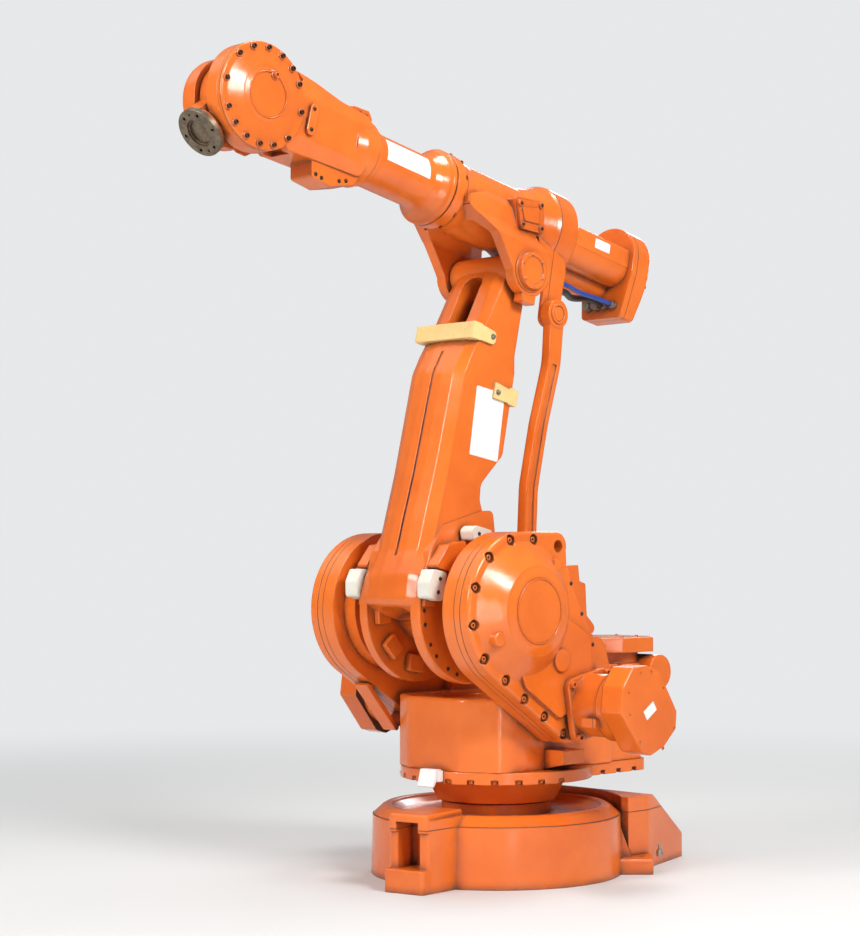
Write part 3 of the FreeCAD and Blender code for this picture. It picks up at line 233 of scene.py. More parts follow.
def set_input(tree, node, socket, value):
    if isinstance(value, bpy.types.NodeSocket):
        tree.links.new(value, node.inputs[socket])
    else:
        node.inputs[socket].default_value = value


def noise(tree, coords, scale, detail=3.0, rough=0.55):
    node = add_node(tree, "TexNoise")
    set_input(tree, node, "Vector", coords)
    set_input(tree, node, "Scale", scale)
    set_input(tree, node, "Detail", detail)
    set_input(tree, node, "Roughness", rough)
    return node.outputs["Fac"]


def ramp(tree, value, low, high, start=0.0, end=1.0):
    node = add_node(tree, "MapRange", clamp=True)
    for socket, number in zip(("Value", "From Min", "From Max", "To Min", "To Max"),
                              (value, low, high, start, end)):
        set_input(tree, node, socket, number)
    return node.outputs["Result"]


def maths(tree, operation, first, second=0.0):
    node = add_node(tree, "Math", operation=operation)
    set_input(tree, node, 0, first)
    set_input(tree, node, 1, second)
    return node.outputs[0]


def blend_colours(tree, mask, first, second):
    node = add_node(tree, "Mix", data_type="RGBA")
    set_input(tree, node, 0, mask)
    set_input(tree, node, 6, first)
    set_input(tree, node, 7, second)
    return node.outputs[2]


def object_coords(tree):
    return add_node(tree, "TexCoord").outputs["Object"]


print("node helpers ready")

# %% [markdown]
# ## Shared effects
# Three effects appear on nearly every surface. Painted shade darkens the
# colour where two surfaces meet. Wear rubs the paint off the outer edges.
# Cast iron keeps a faint swell under its paint. Each is a node group that
# gives out a mask or a height, so every finish can use it in its own strength.


# %% Start and end of an effect group
def new_effect(name, inputs, outputs):
    group = bpy.data.node_groups.new(name, "ShaderNodeTree")
    for socket, number in inputs:
        item = group.interface.new_socket(socket, in_out="INPUT", socket_type="NodeSocketFloat")
        item.default_value = number
    for socket, kind in outputs:
        group.interface.new_socket(socket, in_out="OUTPUT", socket_type="NodeSocket" + kind)
    return group, group.nodes.new("NodeGroupInput"), group.nodes.new("NodeGroupOutput")


def use_effect(tree, group, **inputs):
    node = add_node(tree, "Group", node_tree=group)
    for socket, value in inputs.items():
        set_input(tree, node, socket, value)
    return node


# %% Painted shade in the recesses
# Painted shade: ambient occlusion darkens recesses and the gaps between parts, broken into
# patches by noise.
RECESS_SHADE, shade_in, shade_out = new_effect(
    "recess_shade", [("Reach", 0.03), ("Amount", 1.0)], [("Mask", "Float")])
recess = add_node(RECESS_SHADE, "AmbientOcclusion", samples=6)
RECESS_SHADE.links.new(shade_in.outputs["Reach"], recess.inputs["Distance"])
closed_in = ramp(RECESS_SHADE, recess.outputs["AO"], 0.9, 0.38)
patches = ramp(RECESS_SHADE, noise(RECESS_SHADE, object_coords(RECESS_SHADE), 22.0, 5.0, 0.7), 0.2, 0.52)
mask = maths(RECESS_SHADE, "MULTIPLY", closed_in, patches)
mask = maths(RECESS_SHADE, "MULTIPLY", mask, shade_in.outputs["Amount"])
RECESS_SHADE.links.new(mask, shade_out.inputs["Mask"])
print("grime group:", len(RECESS_SHADE.nodes), "nodes")

# %% Worn outer edges
WEAR, wear_in, wear_out = new_effect(
    "edge_wear", [("Radius", 0.004), ("Amount", 0.5)], [("Mask", "Float")])
soft_edge = add_node(WEAR, "Bevel", samples=4)
WEAR.links.new(wear_in.outputs["Radius"], soft_edge.inputs["Radius"])
surface = add_node(WEAR, "NewGeometry")
agreement = add_node(WEAR, "VectorMath", operation="DOT_PRODUCT")
WEAR.links.new(soft_edge.outputs["Normal"], agreement.inputs[0])
WEAR.links.new(surface.outputs["Normal"], agreement.inputs[1])
turned_edge = ramp(WEAR, agreement.outputs["Value"], 0.99, 0.82)
chips = ramp(WEAR, noise(WEAR, object_coords(WEAR), 60.0, 6.0, 0.75), 0.56, 0.66)
mask = maths(WEAR, "MULTIPLY", turned_edge, chips)
mask = maths(WEAR, "MULTIPLY", mask, wear_in.outputs["Amount"])
WEAR.links.new(mask, wear_out.inputs["Mask"])
print("wear group:", len(WEAR.nodes), "nodes")

# %% Cast surface under the paint
CAST, cast_in, cast_out = new_effect(
    "cast_surface", [("Coarse", 9.0), ("Fine", 260.0)], [("Height", "Float"), ("Tone", "Float")])
coords = object_coords(CAST)
swell = noise(CAST, coords, cast_in.outputs["Coarse"], 2.0)
peel = noise(CAST, coords, cast_in.outputs["Fine"], 2.0)
height = maths(CAST, "ADD", swell, maths(CAST, "MULTIPLY", peel, 0.07))
CAST.links.new(height, cast_out.inputs["Height"])
CAST.links.new(noise(CAST, coords, 2.6, 5.0, 0.6), cast_out.inputs["Tone"])
print("cast group:", len(CAST.nodes), "nodes")

# %% [markdown]
# ## Seams
# Two castings that are bolted face to face are painted together, and the
# paint cracks into a thin dark line along the joint. The line lies in a
# plane, so the group measures how far a point is from that plane. The dark
# band is about three millimetres wide and wanders a little, as a brushed
# sealant does.

# %% Seam line on a plane
SEAM, seam_in, seam_out = new_effect(
    "seam_line", [("X", 0.0), ("Y", 0.0), ("Z", 0.0), ("Offset", 0.0), ("Width", 0.0016)],
    [("Mask", "Float")])
coords = object_coords(SEAM)
plane = add_node(SEAM, "CombineXYZ")
for axis in "XYZ":
    SEAM.links.new(seam_in.outputs[axis], plane.inputs[axis])
along = add_node(SEAM, "VectorMath", operation="DOT_PRODUCT")
SEAM.links.new(coords, along.inputs[0])
SEAM.links.new(plane.outputs[0], along.inputs[1])
wander = maths(SEAM, "MULTIPLY", noise(SEAM, coords, 34.0), 0.0016)
gap = maths(SEAM, "SUBTRACT", along.outputs["Value"], seam_in.outputs["Offset"])
gap = maths(SEAM, "ABSOLUTE", maths(SEAM, "ADD", gap, maths(SEAM, "SUBTRACT", wander, 0.0008)))
inside = maths(SEAM, "DIVIDE", gap, seam_in.outputs["Width"])
SEAM.links.new(ramp(SEAM, inside, 1.15, 0.7), seam_out.inputs["Mask"])
print("seam group:", len(SEAM.nodes), "nodes")

# %% [markdown]
# ## The orange paint
# The arm wears a thick two-part enamel. Under it the castings swell slightly,
# so highlights wander; on top it is smooth and glossy like a car. Painted
# shade makes the recesses brown, rubbed edges go dark, and each batch of
# castings has a slightly different orange. One function makes the finish
# with its seams.

# %% Orange enamel
ORANGE = (0.80, 0.172, 0.021, 1)
ORANGE_DEEP = (0.66, 0.122, 0.013, 1)
# One brown serves the painted shade in recesses, the dark seam lines and the scuffs on plastic.
SHADE_SEAM_SCUFF_BROWN = (0.085, 0.035, 0.018, 1)
PRIMER = (0.10, 0.055, 0.035, 1)


def seam_mask(tree, seams):
    total = None
    for normal, offset in seams:
        line = use_effect(tree, SEAM, X=normal[0], Y=normal[1], Z=normal[2],
                          Offset=offset).outputs["Mask"]
        total = line if total is None else maths(tree, "MAXIMUM", total, line)
    return total


def enamel(name, seams=(), shade_amount=0.85):
    material = bpy.data.materials.new(name)
    material.use_nodes = True
    tree = material.node_tree
    shader = tree.nodes["Principled BSDF"]
    cast = use_effect(tree, CAST)
    tone = ramp(tree, cast.outputs["Tone"], 0.36, 0.66)
    colour = blend_colours(tree, tone, ORANGE, ORANGE_DEEP)
    # Painted shade: the recess mask browns the paint in hollows and between parts; the dark seam
    # lines join it below.
    darkening = use_effect(tree, RECESS_SHADE, Reach=0.035, Amount=shade_amount).outputs["Mask"]
    dark = seam_mask(tree, seams)
    if dark is not None:
        darkening = maths(tree, "MAXIMUM", darkening, dark)
    colour = blend_colours(tree, darkening, colour, SHADE_SEAM_SCUFF_BROWN)
    rubbed = use_effect(tree, WEAR, Radius=0.005, Amount=0.55).outputs["Mask"]
    colour = blend_colours(tree, rubbed, colour, PRIMER)
    set_input(tree, shader, "Base Color", colour)
    cloudy = ramp(tree, noise(tree, object_coords(tree), 7.0, 6.0, 0.7), 0.3, 0.7, 0.11, 0.27)
    rough = maths(tree, "MAXIMUM", cloudy, maths(tree, "MULTIPLY", darkening, 0.75))
    rough = maths(tree, "MAXIMUM", rough, maths(tree, "MULTIPLY", rubbed, 0.6))
    set_input(tree, shader, "Roughness", rough)
    shader.inputs["IOR"].default_value = 1.55
    rounded = add_node(tree, "Bevel", samples=6)
    rounded.inputs["Radius"].default_value = 0.007
    bump = add_node(tree, "Bump")
    bump.inputs["Strength"].default_value = 0.5
    bump.inputs["Distance"].default_value = 0.004
    set_input(tree, bump, "Height", cast.outputs["Height"])
    tree.links.new(rounded.outputs["Normal"], bump.inputs["Normal"])
    tree.links.new(bump.outputs["Normal"], shader.inputs["Normal"])
    return material


def seam_y(*offsets):
    return [((0, 1, 0), value * side) for value in offsets for side in (1, -1)]


def seam_along(joint, *offsets):
    direction = Vector(JOINTS[joint]["axis"])
    start = anchor(joint).dot(direction)
    return [(tuple(direction), start + value * MM) for value in offsets]


def inner_face(node):
    low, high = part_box(node)
    return min(abs(low[1]), abs(high[1]))


cover_split = inner_face("left_gear_cover")
cap_split = inner_face("left_motor_cover")
paint_plain = enamel("orange_enamel")
paint_gearbox = enamel("orange_enamel_gearbox", seam_y(cover_split, cover_split - 0.026))
paint_motor = enamel("orange_enamel_motor", seam_y(cap_split, cap_split - 0.052))
paint_elbow = enamel("orange_enamel_elbow", seam_along("axis_4", -146, 296))
paint_wrist = enamel("orange_enamel_wrist", seam_y(0.1085))
paint_base = enamel("orange_enamel_base", [((0, 0, 1), 0.2)], shade_amount=1.0)
paint_tail = enamel("orange_enamel_tail", seam_along("axis_4", -628))
print("cover seam at", round(cover_split, 3), "m")

# %% [markdown]
# ## Plastics, rubber and bare metal
# The bumper straps are cast polyurethane, milky yellow and a little
# translucent, with brown stains. The dampers are off-white rubber. Hoses are
# black or blue polyurethane, soft and slightly shiny. The tool flange is the
# only bare steel: turned on a lathe, then darkened by oil and heat.


# %% Plastic and rubber
def plastic(name, light, deep, rough, stain_and_shade, scatter=0.0):
    material = bpy.data.materials.new(name)
    material.use_nodes = True
    tree = material.node_tree
    shader = tree.nodes["Principled BSDF"]
    cast = use_effect(tree, CAST, Coarse=26.0, Fine=180.0)
    colour = blend_colours(tree, ramp(tree, cast.outputs["Tone"], 0.35, 0.65), light, deep)
    # Painted shade browns the recesses; the scuffs below are real stains.
    darkening = use_effect(tree, RECESS_SHADE, Reach=0.025, Amount=stain_and_shade).outputs["Mask"]
    scuffs = ramp(tree, noise(tree, object_coords(tree), 48.0, 8.0, 0.8), 0.6, 0.72, 0.0, stain_and_shade)
    colour = blend_colours(tree, maths(tree, "MAXIMUM", darkening, scuffs), colour, SHADE_SEAM_SCUFF_BROWN)
    set_input(tree, shader, "Base Color", colour)
    set_input(tree, shader, "Roughness", ramp(tree, cast.outputs["Tone"], 0.3, 0.7,
                                              rough - 0.08, rough + 0.1))
    if scatter:
        shader.inputs["Subsurface Weight"].default_value = scatter
        shader.inputs["Subsurface Scale"].default_value = 0.01
    rounded = add_node(tree, "Bevel", samples=6)
    rounded.inputs["Radius"].default_value = 0.005
    bump = add_node(tree, "Bump")
    bump.inputs["Strength"].default_value = 0.3
    bump.inputs["Distance"].default_value = 0.001
    set_input(tree, bump, "Height", cast.outputs["Height"])
    tree.links.new(rounded.outputs["Normal"], bump.inputs["Normal"])
    tree.links.new(bump.outputs["Normal"], shader.inputs["Normal"])
    return material


bumper_yellow = plastic("amber_polyurethane", (0.84, 0.62, 0.27, 1), (0.74, 0.48, 0.17, 1),
                        0.34, 0.35, 0.25)
damper_white = plastic("white_damper_rubber", (0.80, 0.77, 0.69, 1), (0.66, 0.61, 0.5, 1),
                       0.5, 0.4, 0.1)
hose_black = plastic("black_hose_rubber", (0.012, 0.012, 0.013, 1), (0.02, 0.019, 0.018, 1),
                     0.38, 0.1)
hose_blue = plastic("blue_hose_polyurethane", (0.012, 0.075, 0.42, 1), (0.01, 0.05, 0.3, 1),
                    0.3, 0.12)
label_white = plastic("blank_label_vinyl", (0.86, 0.86, 0.84, 1), (0.78, 0.78, 0.75, 1),
                      0.35, 0.16)
panel_grey = plastic("grey_panel_paint", (0.12, 0.125, 0.13, 1), (0.09, 0.092, 0.095, 1),
                     0.5, 0.5)
print("plastics:", bumper_yellow.name, damper_white.name, hose_black.name)


# %% Bare and plated steel
def steel(name, light, deep, rough, rings=None):
    material = bpy.data.materials.new(name)
    material.use_nodes = True
    tree = material.node_tree
    shader = tree.nodes["Principled BSDF"]
    coords = object_coords(tree)
    stains = ramp(tree, noise(tree, coords, 38.0, 6.0, 0.7), 0.35, 0.68)
    colour = blend_colours(tree, stains, light, deep)
    # Painted shade browns the recesses round the steel.
    darkening = use_effect(tree, RECESS_SHADE, Reach=0.012, Amount=0.9).outputs["Mask"]
    colour = blend_colours(tree, darkening, colour, SHADE_SEAM_SCUFF_BROWN)
    set_input(tree, shader, "Base Color", colour)
    shader.inputs["Metallic"].default_value = 0.9
    set_input(tree, shader, "Roughness", ramp(tree, stains, 0.0, 1.0, rough, rough + 0.22))
    height = noise(tree, coords, 420.0, 3.0)
    if rings is not None:
        centre, axis = rings
        offset = add_node(tree, "VectorMath", operation="SUBTRACT")
        set_input(tree, offset, 0, coords)
        set_input(tree, offset, 1, tuple(centre))
        across = add_node(tree, "VectorMath", operation="CROSS_PRODUCT")
        tree.links.new(offset.outputs[0], across.inputs[0])
        set_input(tree, across, 1, tuple(axis))
        radius = add_node(tree, "VectorMath", operation="LENGTH")
        tree.links.new(across.outputs[0], radius.inputs[0])
        turns = maths(tree, "SINE", maths(tree, "MULTIPLY", radius.outputs["Value"], 5200.0))
        height = maths(tree, "ADD", height, maths(tree, "MULTIPLY", turns, 0.6))
    rounded = add_node(tree, "Bevel", samples=4)
    rounded.inputs["Radius"].default_value = 0.0015
    bump = add_node(tree, "Bump")
    bump.inputs["Strength"].default_value = 0.25
    bump.inputs["Distance"].default_value = 0.0004
    set_input(tree, bump, "Height", height)
    tree.links.new(rounded.outputs["Normal"], bump.inputs["Normal"])
    tree.links.new(bump.outputs["Normal"], shader.inputs["Normal"])
    return material


flange_steel = steel("oiled_turned_steel", (0.30, 0.235, 0.165, 1), (0.13, 0.095, 0.065, 1), 0.32,
                     (anchor("axis_6"), JOINTS["axis_6"]["axis"]))
pin_steel = steel("zinc_plated_steel", (0.50, 0.48, 0.44, 1), (0.30, 0.26, 0.2, 1), 0.3)
screw_black = steel("oiled_black_steel", (0.045, 0.042, 0.04, 1), (0.09, 0.06, 0.04, 1), 0.35)
print("metals:", flange_steel.name, pin_steel.name, screw_black.name)

# %% [markdown]
# ## Painting the castings
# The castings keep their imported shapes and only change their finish. Each
# node takes the paint whose seams lie on it; all the rest take the plain
# enamel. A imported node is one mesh, so its first slot is its whole finish.

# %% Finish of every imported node
SLOT_FINISH = {"orange_paint": paint_plain, "amber_bumper": bumper_yellow,
               "white_damper": damper_white, "white_plate": label_white,
               "black_hose": hose_black, "blue_hose": hose_blue,
               "bare_steel": flange_steel, "grey_panel": panel_grey}
NODE_FINISH = {"elbow_housing": paint_elbow, "wrist_near_cover": paint_wrist,
               "base_casting": paint_base, "base_rear_box": paint_base,
               "rear_end_housing": paint_tail, "hose_fittings": pin_steel,
               "base_ground_stud": pin_steel}
for side in ("left", "right"):
    for node in ("gear_housing", "gear_cover"):
        NODE_FINISH["%s_%s" % (side, node)] = paint_gearbox
    for node in ("motor", "motor_cover"):
        NODE_FINISH["%s_%s" % (side, node)] = paint_motor
SLOT_OF = {part["node"]: part["material_slot"] for part in frame["record"]["subparts"]}
for name, item in frame["nodes"].items():
    finish = NODE_FINISH.get(name, SLOT_FINISH[SLOT_OF.get(name, "orange_paint")])
    item.data.materials.clear()
    item.data.materials.append(finish)
print("painted", len(frame["nodes"]), "castings")

# %% [markdown]
# ## Placing small pieces
# A screw is drawn once, standing on the origin and pointing up. Turning and
# moving copies of it is how a drawing's bolt pattern becomes metal. All the
# copies of one pattern become one piece that rides on one body.


# %% Facing and repeating
FACING = {"+Y": Matrix.Rotation(math.radians(-90), 4, "X"),
          "-Y": Matrix.Rotation(math.radians(90), 4, "X"),
          "+X": Matrix.Rotation(math.radians(90), 4, "Y"),
          "-X": Matrix.Rotation(math.radians(-90), 4, "Y"),
          "+Z": Matrix.Identity(4),
          "-Z": Matrix.Rotation(math.radians(180), 4, "X")}


def finished(name, form, body, material):
    bmesh.ops.recalc_face_normals(form, faces=form.faces)
    mesh = bpy.data.meshes.new(name)
    form.to_mesh(mesh)
    form.free()
    for face in mesh.polygons:
        face.use_smooth = False
    piece = bpy.data.objects.new(name, mesh)
    bpy.context.scene.collection.objects.link(piece)
    mesh.materials.append(material)
    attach(piece, body)


def repeated(name, pattern, template, body, material):
    form = bmesh.new()
    for spot in pattern:
        copy = template.copy()
        copy.transform(spot)
        form.from_mesh(copy)
        bpy.data.meshes.remove(copy)
    finished(name, form, body, material)


def spots(frame_of, facing, places, spin=17.0):
    return [frame_of @ Matrix.Translation(place) @ FACING[facing]
            @ Matrix.Rotation(math.radians(spin * index), 4, "Z")
            for index, place in enumerate(places)]


def as_template(name, form):
    bmesh.ops.recalc_face_normals(form, faces=form.faces)
    mesh = bpy.data.meshes.new(name)
    form.to_mesh(mesh)
    form.free()
    return mesh


print("facings:", sorted(FACING))

# %% [markdown]
# ## Screws
# A few kinds hold this arm together. Socket heads on a collar stand in the
# pockets of the gearbox covers and are painted over. Larger socket heads hold
# the motors, hexagon heads on washers hold the flange and the straps, and
# small domed screws hold trim. Each starts as a circle of edges. Extruding it
# to a new radius and height, again and again, gives the collar, the head and
# the drive.


# %% Round and hexagonal steps
def stepped(steps, segments=20):
    """A turned shape from (radius, height) steps, closed at its last radius."""
    form = bmesh.new()
    ring = bmesh.ops.create_circle(form, segments=segments, radius=steps[0][0])["verts"]
    bmesh.ops.translate(form, verts=ring, vec=(0, 0, steps[0][1]))
    edges = list({edge for vert in ring for edge in vert.link_edges})
    for radius, height in steps[1:]:
        grown = bmesh.ops.extrude_edge_only(form, edges=edges)["geom"]
        ring = [item for item in grown if isinstance(item, bmesh.types.BMVert)]
        edges = [item for item in grown if isinstance(item, bmesh.types.BMEdge)]
        middle = sum((vert.co for vert in ring), Vector()) / len(ring)
        for vert in ring:
            flat = Vector((vert.co.x - middle.x, vert.co.y - middle.y, 0)).normalized()
            vert.co = flat * radius + Vector((0, 0, height))
    bmesh.ops.edgeloop_fill(form, edges=edges)
    return form


def joined_forms(*forms):
    whole = bmesh.new()
    for form in forms:
        mesh = as_template("step", form)
        whole.from_mesh(mesh)
        bpy.data.meshes.remove(mesh)
    return whole


# %% The kinds of screw
def hex_screw(across):
    washer = stepped([(across * 0.74, 0), (across * 0.74, 2.2), (across * 0.5, 2.2)], 24)
    head = stepped([(across * 0.577, 2.0), (across * 0.577, across * 0.52),
                    (across * 0.5, across * 0.60), (across * 0.2, across * 0.62)], 6)
    return joined_forms(washer, head)


def socket_screw(across):
    radius = across / 2
    return stepped([(radius, 0), (radius, across * 0.5), (radius * 0.93, across * 0.56),
                    (radius * 0.56, across * 0.56), (radius * 0.54, across * 0.25),
                    (radius * 0.1, across * 0.22)], 18)


def domed_screw(across):
    radius = across / 2
    return stepped([(radius * 1.15, 0), (radius * 1.15, 0.8), (radius, 1.0),
                    (radius * 0.92, across * 0.22), (radius * 0.66, across * 0.33),
                    (radius * 0.3, across * 0.36), (radius * 0.26, across * 0.2),
                    (radius * 0.05, across * 0.18)], 16)


collar_socket = as_template("collared_socket_head", stepped(
    [(13, 0), (13, 7), (9.5, 7.6), (9.5, 19), (8.6, 20), (4.8, 20), (4.6, 12), (1, 11.5)], 20))
flat_head = as_template("flat_head_14", stepped([(7, 0), (7, 0.4), (6.6, 0.6), (1, 0.6)], 20))
# A thin black hexagon laid on a flat head is painted shade standing for its socket hole.
socket_hole_shade = as_template("socket_hole_shade_disc", stepped([(3, 0), (3, 0.7), (0.5, 0.7)], 6))
cover_hex = as_template("hex_head_16", hex_screw(16))
small_hex = as_template("hex_head_13", hex_screw(13))
big_socket = as_template("socket_head_24", socket_screw(24))
mid_socket = as_template("socket_head_18", socket_screw(18))
small_dome = as_template("domed_head_12", domed_screw(12))
print("screw templates:", len(collar_socket.polygons), len(mid_socket.polygons),
      len(small_dome.polygons), "faces")

# %% [markdown]
# ## Gearbox cover screws
# Each gearbox cover is held by ten screws in round pockets along its rim. The
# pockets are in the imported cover; the heads stand on the pocket floors. The
# same pattern, mirrored, holds the right cover.

# %% Cover screws on both gearboxes
SCREW_R = 236
FLANK = math.radians(32.7)
RING = ring_of(SCREW_R, (102, 75, 47, 19, -10, -39, -69))
DOWN = [(SCREW_R * math.sin(FLANK) - back * math.cos(FLANK),
         -SCREW_R * math.cos(FLANK) - back * math.sin(FLANK)) for back in (158, 272, 386)]
TRIMS = [(66, 90), (-140, 29), (15, -123), (-118, -60), (120, 18)]
RIM_THICK, POCKET_DEEP, TRIM_STAND = 41, 24, 45
rim_face = cover_split / MM + RIM_THICK
for side, sign, facing in SIDES:
    places = [(x, sign * (rim_face - POCKET_DEEP), z) for x, z in RING + DOWN]
    repeated(side + "_cover_screws", spots(SHOULDER, facing, places), collar_socket,
             "turret", paint_plain)
    places = [(x, sign * (rim_face + TRIM_STAND), z) for x, z in TRIMS]
    repeated(side + "_dome_screws", spots(SHOULDER, facing, places), small_dome,
             "turret", paint_plain)
print("cover screws per side:", len(RING + DOWN))

# %% [markdown]
# ## Motor screws
# A motor is bolted through the corners of its square plate, and its end cover
# is held by small screws just inside its edge. They sit where a spanner can
# reach them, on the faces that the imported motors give.

# %% Side motor screws
PLATE_THICK, PLATE_SCREW_R = 24, 124
MOTOR_X, MOTOR_Z = -296, -315
plate_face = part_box("left_motor")[0][1] / MM + PLATE_THICK
cap_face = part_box("left_motor_cover")[1][1] / MM
corners = [(MOTOR_X + x, MOTOR_Z + z) for x, z in ring_of(PLATE_SCREW_R, (34, 124, 214, 304))]
rim_screws = [(-245, -199), (-185, -259), (-190, -330), (-240, -420), (-357, -446),
              (-416, -384), (-362, -252), (-300, -196)]
for side, sign, facing in SIDES:
    repeated(side + "_motor_plate_screws",
             spots(SHOULDER, facing, [(x, sign * plate_face, z) for x, z in corners]),
             big_socket, "turret", paint_plain)
    places = spots(SHOULDER, facing, [(x, sign * cap_face, z) for x, z in rim_screws])
    repeated(side + "_motor_cap_screws", places, flat_head, "turret", paint_plain)
    # Black hexagons on the heads paint the shade in the socket holes.
    repeated(side + "_motor_cap_sockets", places, socket_hole_shade, "turret", screw_black)
print("motor plate at", round(plate_face), "cap face at", round(cap_face))

# %% Axis 1 motor screws
low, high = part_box("axis_1_motor_cover")
middle = (Vector(low) + Vector(high)) / 2 / MM
cap_top = high[2] / MM
places = [(middle.x + x, middle.y + y, cap_top)
          for x, y in ring_of(122, range(22, 360, 45))]
repeated("axis_1_motor_cap_screws", spots(WORLD, "+Z", places), small_dome,
         "turret", paint_plain)
FOOT_THICK, FOOT_SCREW = 42, 108
foot_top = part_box("axis_1_motor")[0][2] / MM + FOOT_THICK
places = [(middle.x + a * FOOT_SCREW, middle.y + b * FOOT_SCREW, foot_top)
          for a in (1, -1) for b in (1, -1)]
repeated("axis_1_motor_foot_screws", spots(WORLD, "+Z", places), big_socket,
         "turret", paint_plain)
print("spin motor cap at", round(cap_top))

# %% [markdown]
# ## Screws under the turret flange
# The turret flange is notched so that a spanner reaches the screws that hold
# the turning ring. A screw hangs in each notch with its head down.

# %% Flange screws
FLANGE_SCREW_R, NOTCH_BELOW_FRAME = 321, 26
notch_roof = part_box("turret_frame")[0][2] / MM - NOTCH_BELOW_FRAME
places = [(x, y, notch_roof) for x, y in ring_of(FLANGE_SCREW_R, range(-84, 85, 14))]
repeated("flange_ring_screws", spots(WORLD, "-Z", places), cover_hex,
         "turret", paint_plain)
print("notch roof", round(notch_roof))

# %% [markdown]
# ## Wrist screws
# The wrist's left cover has fourteen screws on cast pads round its rim, a
# round plug on its dome, and a thin raised ring round the middle. The screws
# are small socket heads. The raised ring is a spun profile, the same way a
# lathe would leave it.

# %% Wrist cover screws
near_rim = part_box("wrist_near_cover")[0][1] / MM + 22
near_face = near_rim + 17
WRIST_ANGLES = (38, 62, 85, 107, 127, 147, 180, -140, -115, -94, -73, -52, -32, 1)
places = [(x, near_rim, z) for x, z in ring_of(152, WRIST_ANGLES)]
repeated("wrist_cover_screws", spots(WRIST, "+Y", places), as_template(
    "socket_head_14", socket_screw(14)), "forearm", screw_black)
far_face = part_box("wrist_far_cover")[0][1] / MM
places = [(x, far_face, z) for x, z in ring_of(118, range(0, 360, 30))]
repeated("wrist_far_screws", spots(WRIST, "-Y", places), small_dome,
         "forearm", paint_plain)
places = [(-211, near_rim - 10, 34), (-211, near_rim - 10, -34)]
repeated("wrist_side_screws", spots(WRIST, "+Y", places), small_dome,
         "forearm", screw_black)
PLUG_R, PLUG_TURN, PLUG_STANDS = 68, 101, 3
plug_x, plug_z = ring_of(PLUG_R, [PLUG_TURN])[0]
plug = (plug_x, near_face + PLUG_STANDS, plug_z)
repeated("wrist_plug_socket", spots(WRIST, "+Y", [plug]), mid_socket,
         "forearm", paint_plain)
print("wrist cover rim at", round(near_rim), "mm left of the middle")


# %% Raised rings on the covers
def spun_ring(inner, outer, tall, segments=64):
    form = bmesh.new()
    profile = [form.verts.new((inner, 0, 0)), form.verts.new((inner + 1.5, 0, tall)),
               form.verts.new((outer - 1.5, 0, tall)), form.verts.new((outer, 0, 0))]
    edges = [form.edges.new(pair) for pair in zip(profile, profile[1:] + profile[:1])]
    bmesh.ops.spin(form, geom=profile + edges, axis=(0, 0, 1), cent=(0, 0, 0),
                   steps=segments, angle=math.radians(360), use_merge=True)
    bmesh.ops.remove_doubles(form, verts=form.verts, dist=1e-4)
    return form


ring = as_template("cover_ring", spun_ring(68, 75, 2.2))
repeated("wrist_raised_ring", spots(WRIST, "+Y", [(0, near_face - 0.2, 0)]), ring,
         "forearm", paint_plain)
ring = as_template("dome_ring", spun_ring(100, 108, 2.5))
DOME_TALL = 70
dome_face = rim_face + DOME_TALL
for side, sign, facing in SIDES:
    repeated(side + "_dome_ring", spots(SHOULDER, facing, [(0, sign * (dome_face - 0.2), 0)]),
             ring, "turret", paint_plain)
print("dome face at", round(dome_face))

# %% [markdown]
# ## Elbow and tail screws
# The elbow's pin caps are pressed rings held by a circle of screws. The tail
# housing closes the gear train of axis 4, so a ring of screws runs round its
# back, and another ring holds the seam where axis 4 turns.

# %% Elbow screws
PIN_SCREW_R = 55
pin_drop = -(anchor("axis_3") - anchor("axis_4")).length / MM
cap_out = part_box("left_pin_cap")[1][1] / MM
for side, sign, facing in SIDES:
    places = [(x, sign * cap_out, pin_drop + z)
              for x, z in ring_of(PIN_SCREW_R, range(15, 360, 60))]
    repeated(side + "_pin_cap_screws", spots(ELBOW, facing, places), small_dome,
             "upper_arm", paint_plain)
TAIL_BACK, ARCH_Z, BELL_TAIL = -702, 42, -252
places = [(TAIL_BACK, y, ARCH_Z + z) for y, z in ring_of(100, (5, 40, 75, 105, 140, 175))]
places += [(TAIL_BACK, 98, -50), (TAIL_BACK, -98, -50)]
repeated("tail_cover_screws", spots(ELBOW, "-X", places), small_hex,
         "upper_arm", paint_plain)
places = [(BELL_TAIL, y, z) for y, z in ring_of(118, (35, 65, 115, 145))]
repeated("bell_screws", spots(ELBOW, "-X", places), mid_socket,
         "upper_arm", paint_plain)
plate_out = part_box("elbow_cover_plate")[1][1] / MM
places = [(x, plate_out, z) for x, z in ((70, 17), (-32, 41), (-46, -39), (48, -51))]
repeated("elbow_plate_screws", spots(ELBOW, "+Y", places), small_dome,
         "upper_arm", screw_black)
print("pin cap face", round(cap_out), "plate face", round(plate_out))

# %% Seam screws where axis 4 turns
SEAM_FLANGE_BACK = 308
places = [(SEAM_FLANGE_BACK, y, z) for y, z in ring_of(128, range(15, 360, 30))]
repeated("elbow_seam_screws", spots(ELBOW, "-X", places), small_hex,
         "upper_arm", paint_plain)
print("seam screws:", len(places))

# %% [markdown]
# ## Bumper and damper screws
# Each bumper strap is held by one screw through the ear on each side, on a
# plated washer, because the soft plastic must not be crushed. The dampers
# have a screw through their foot as well.

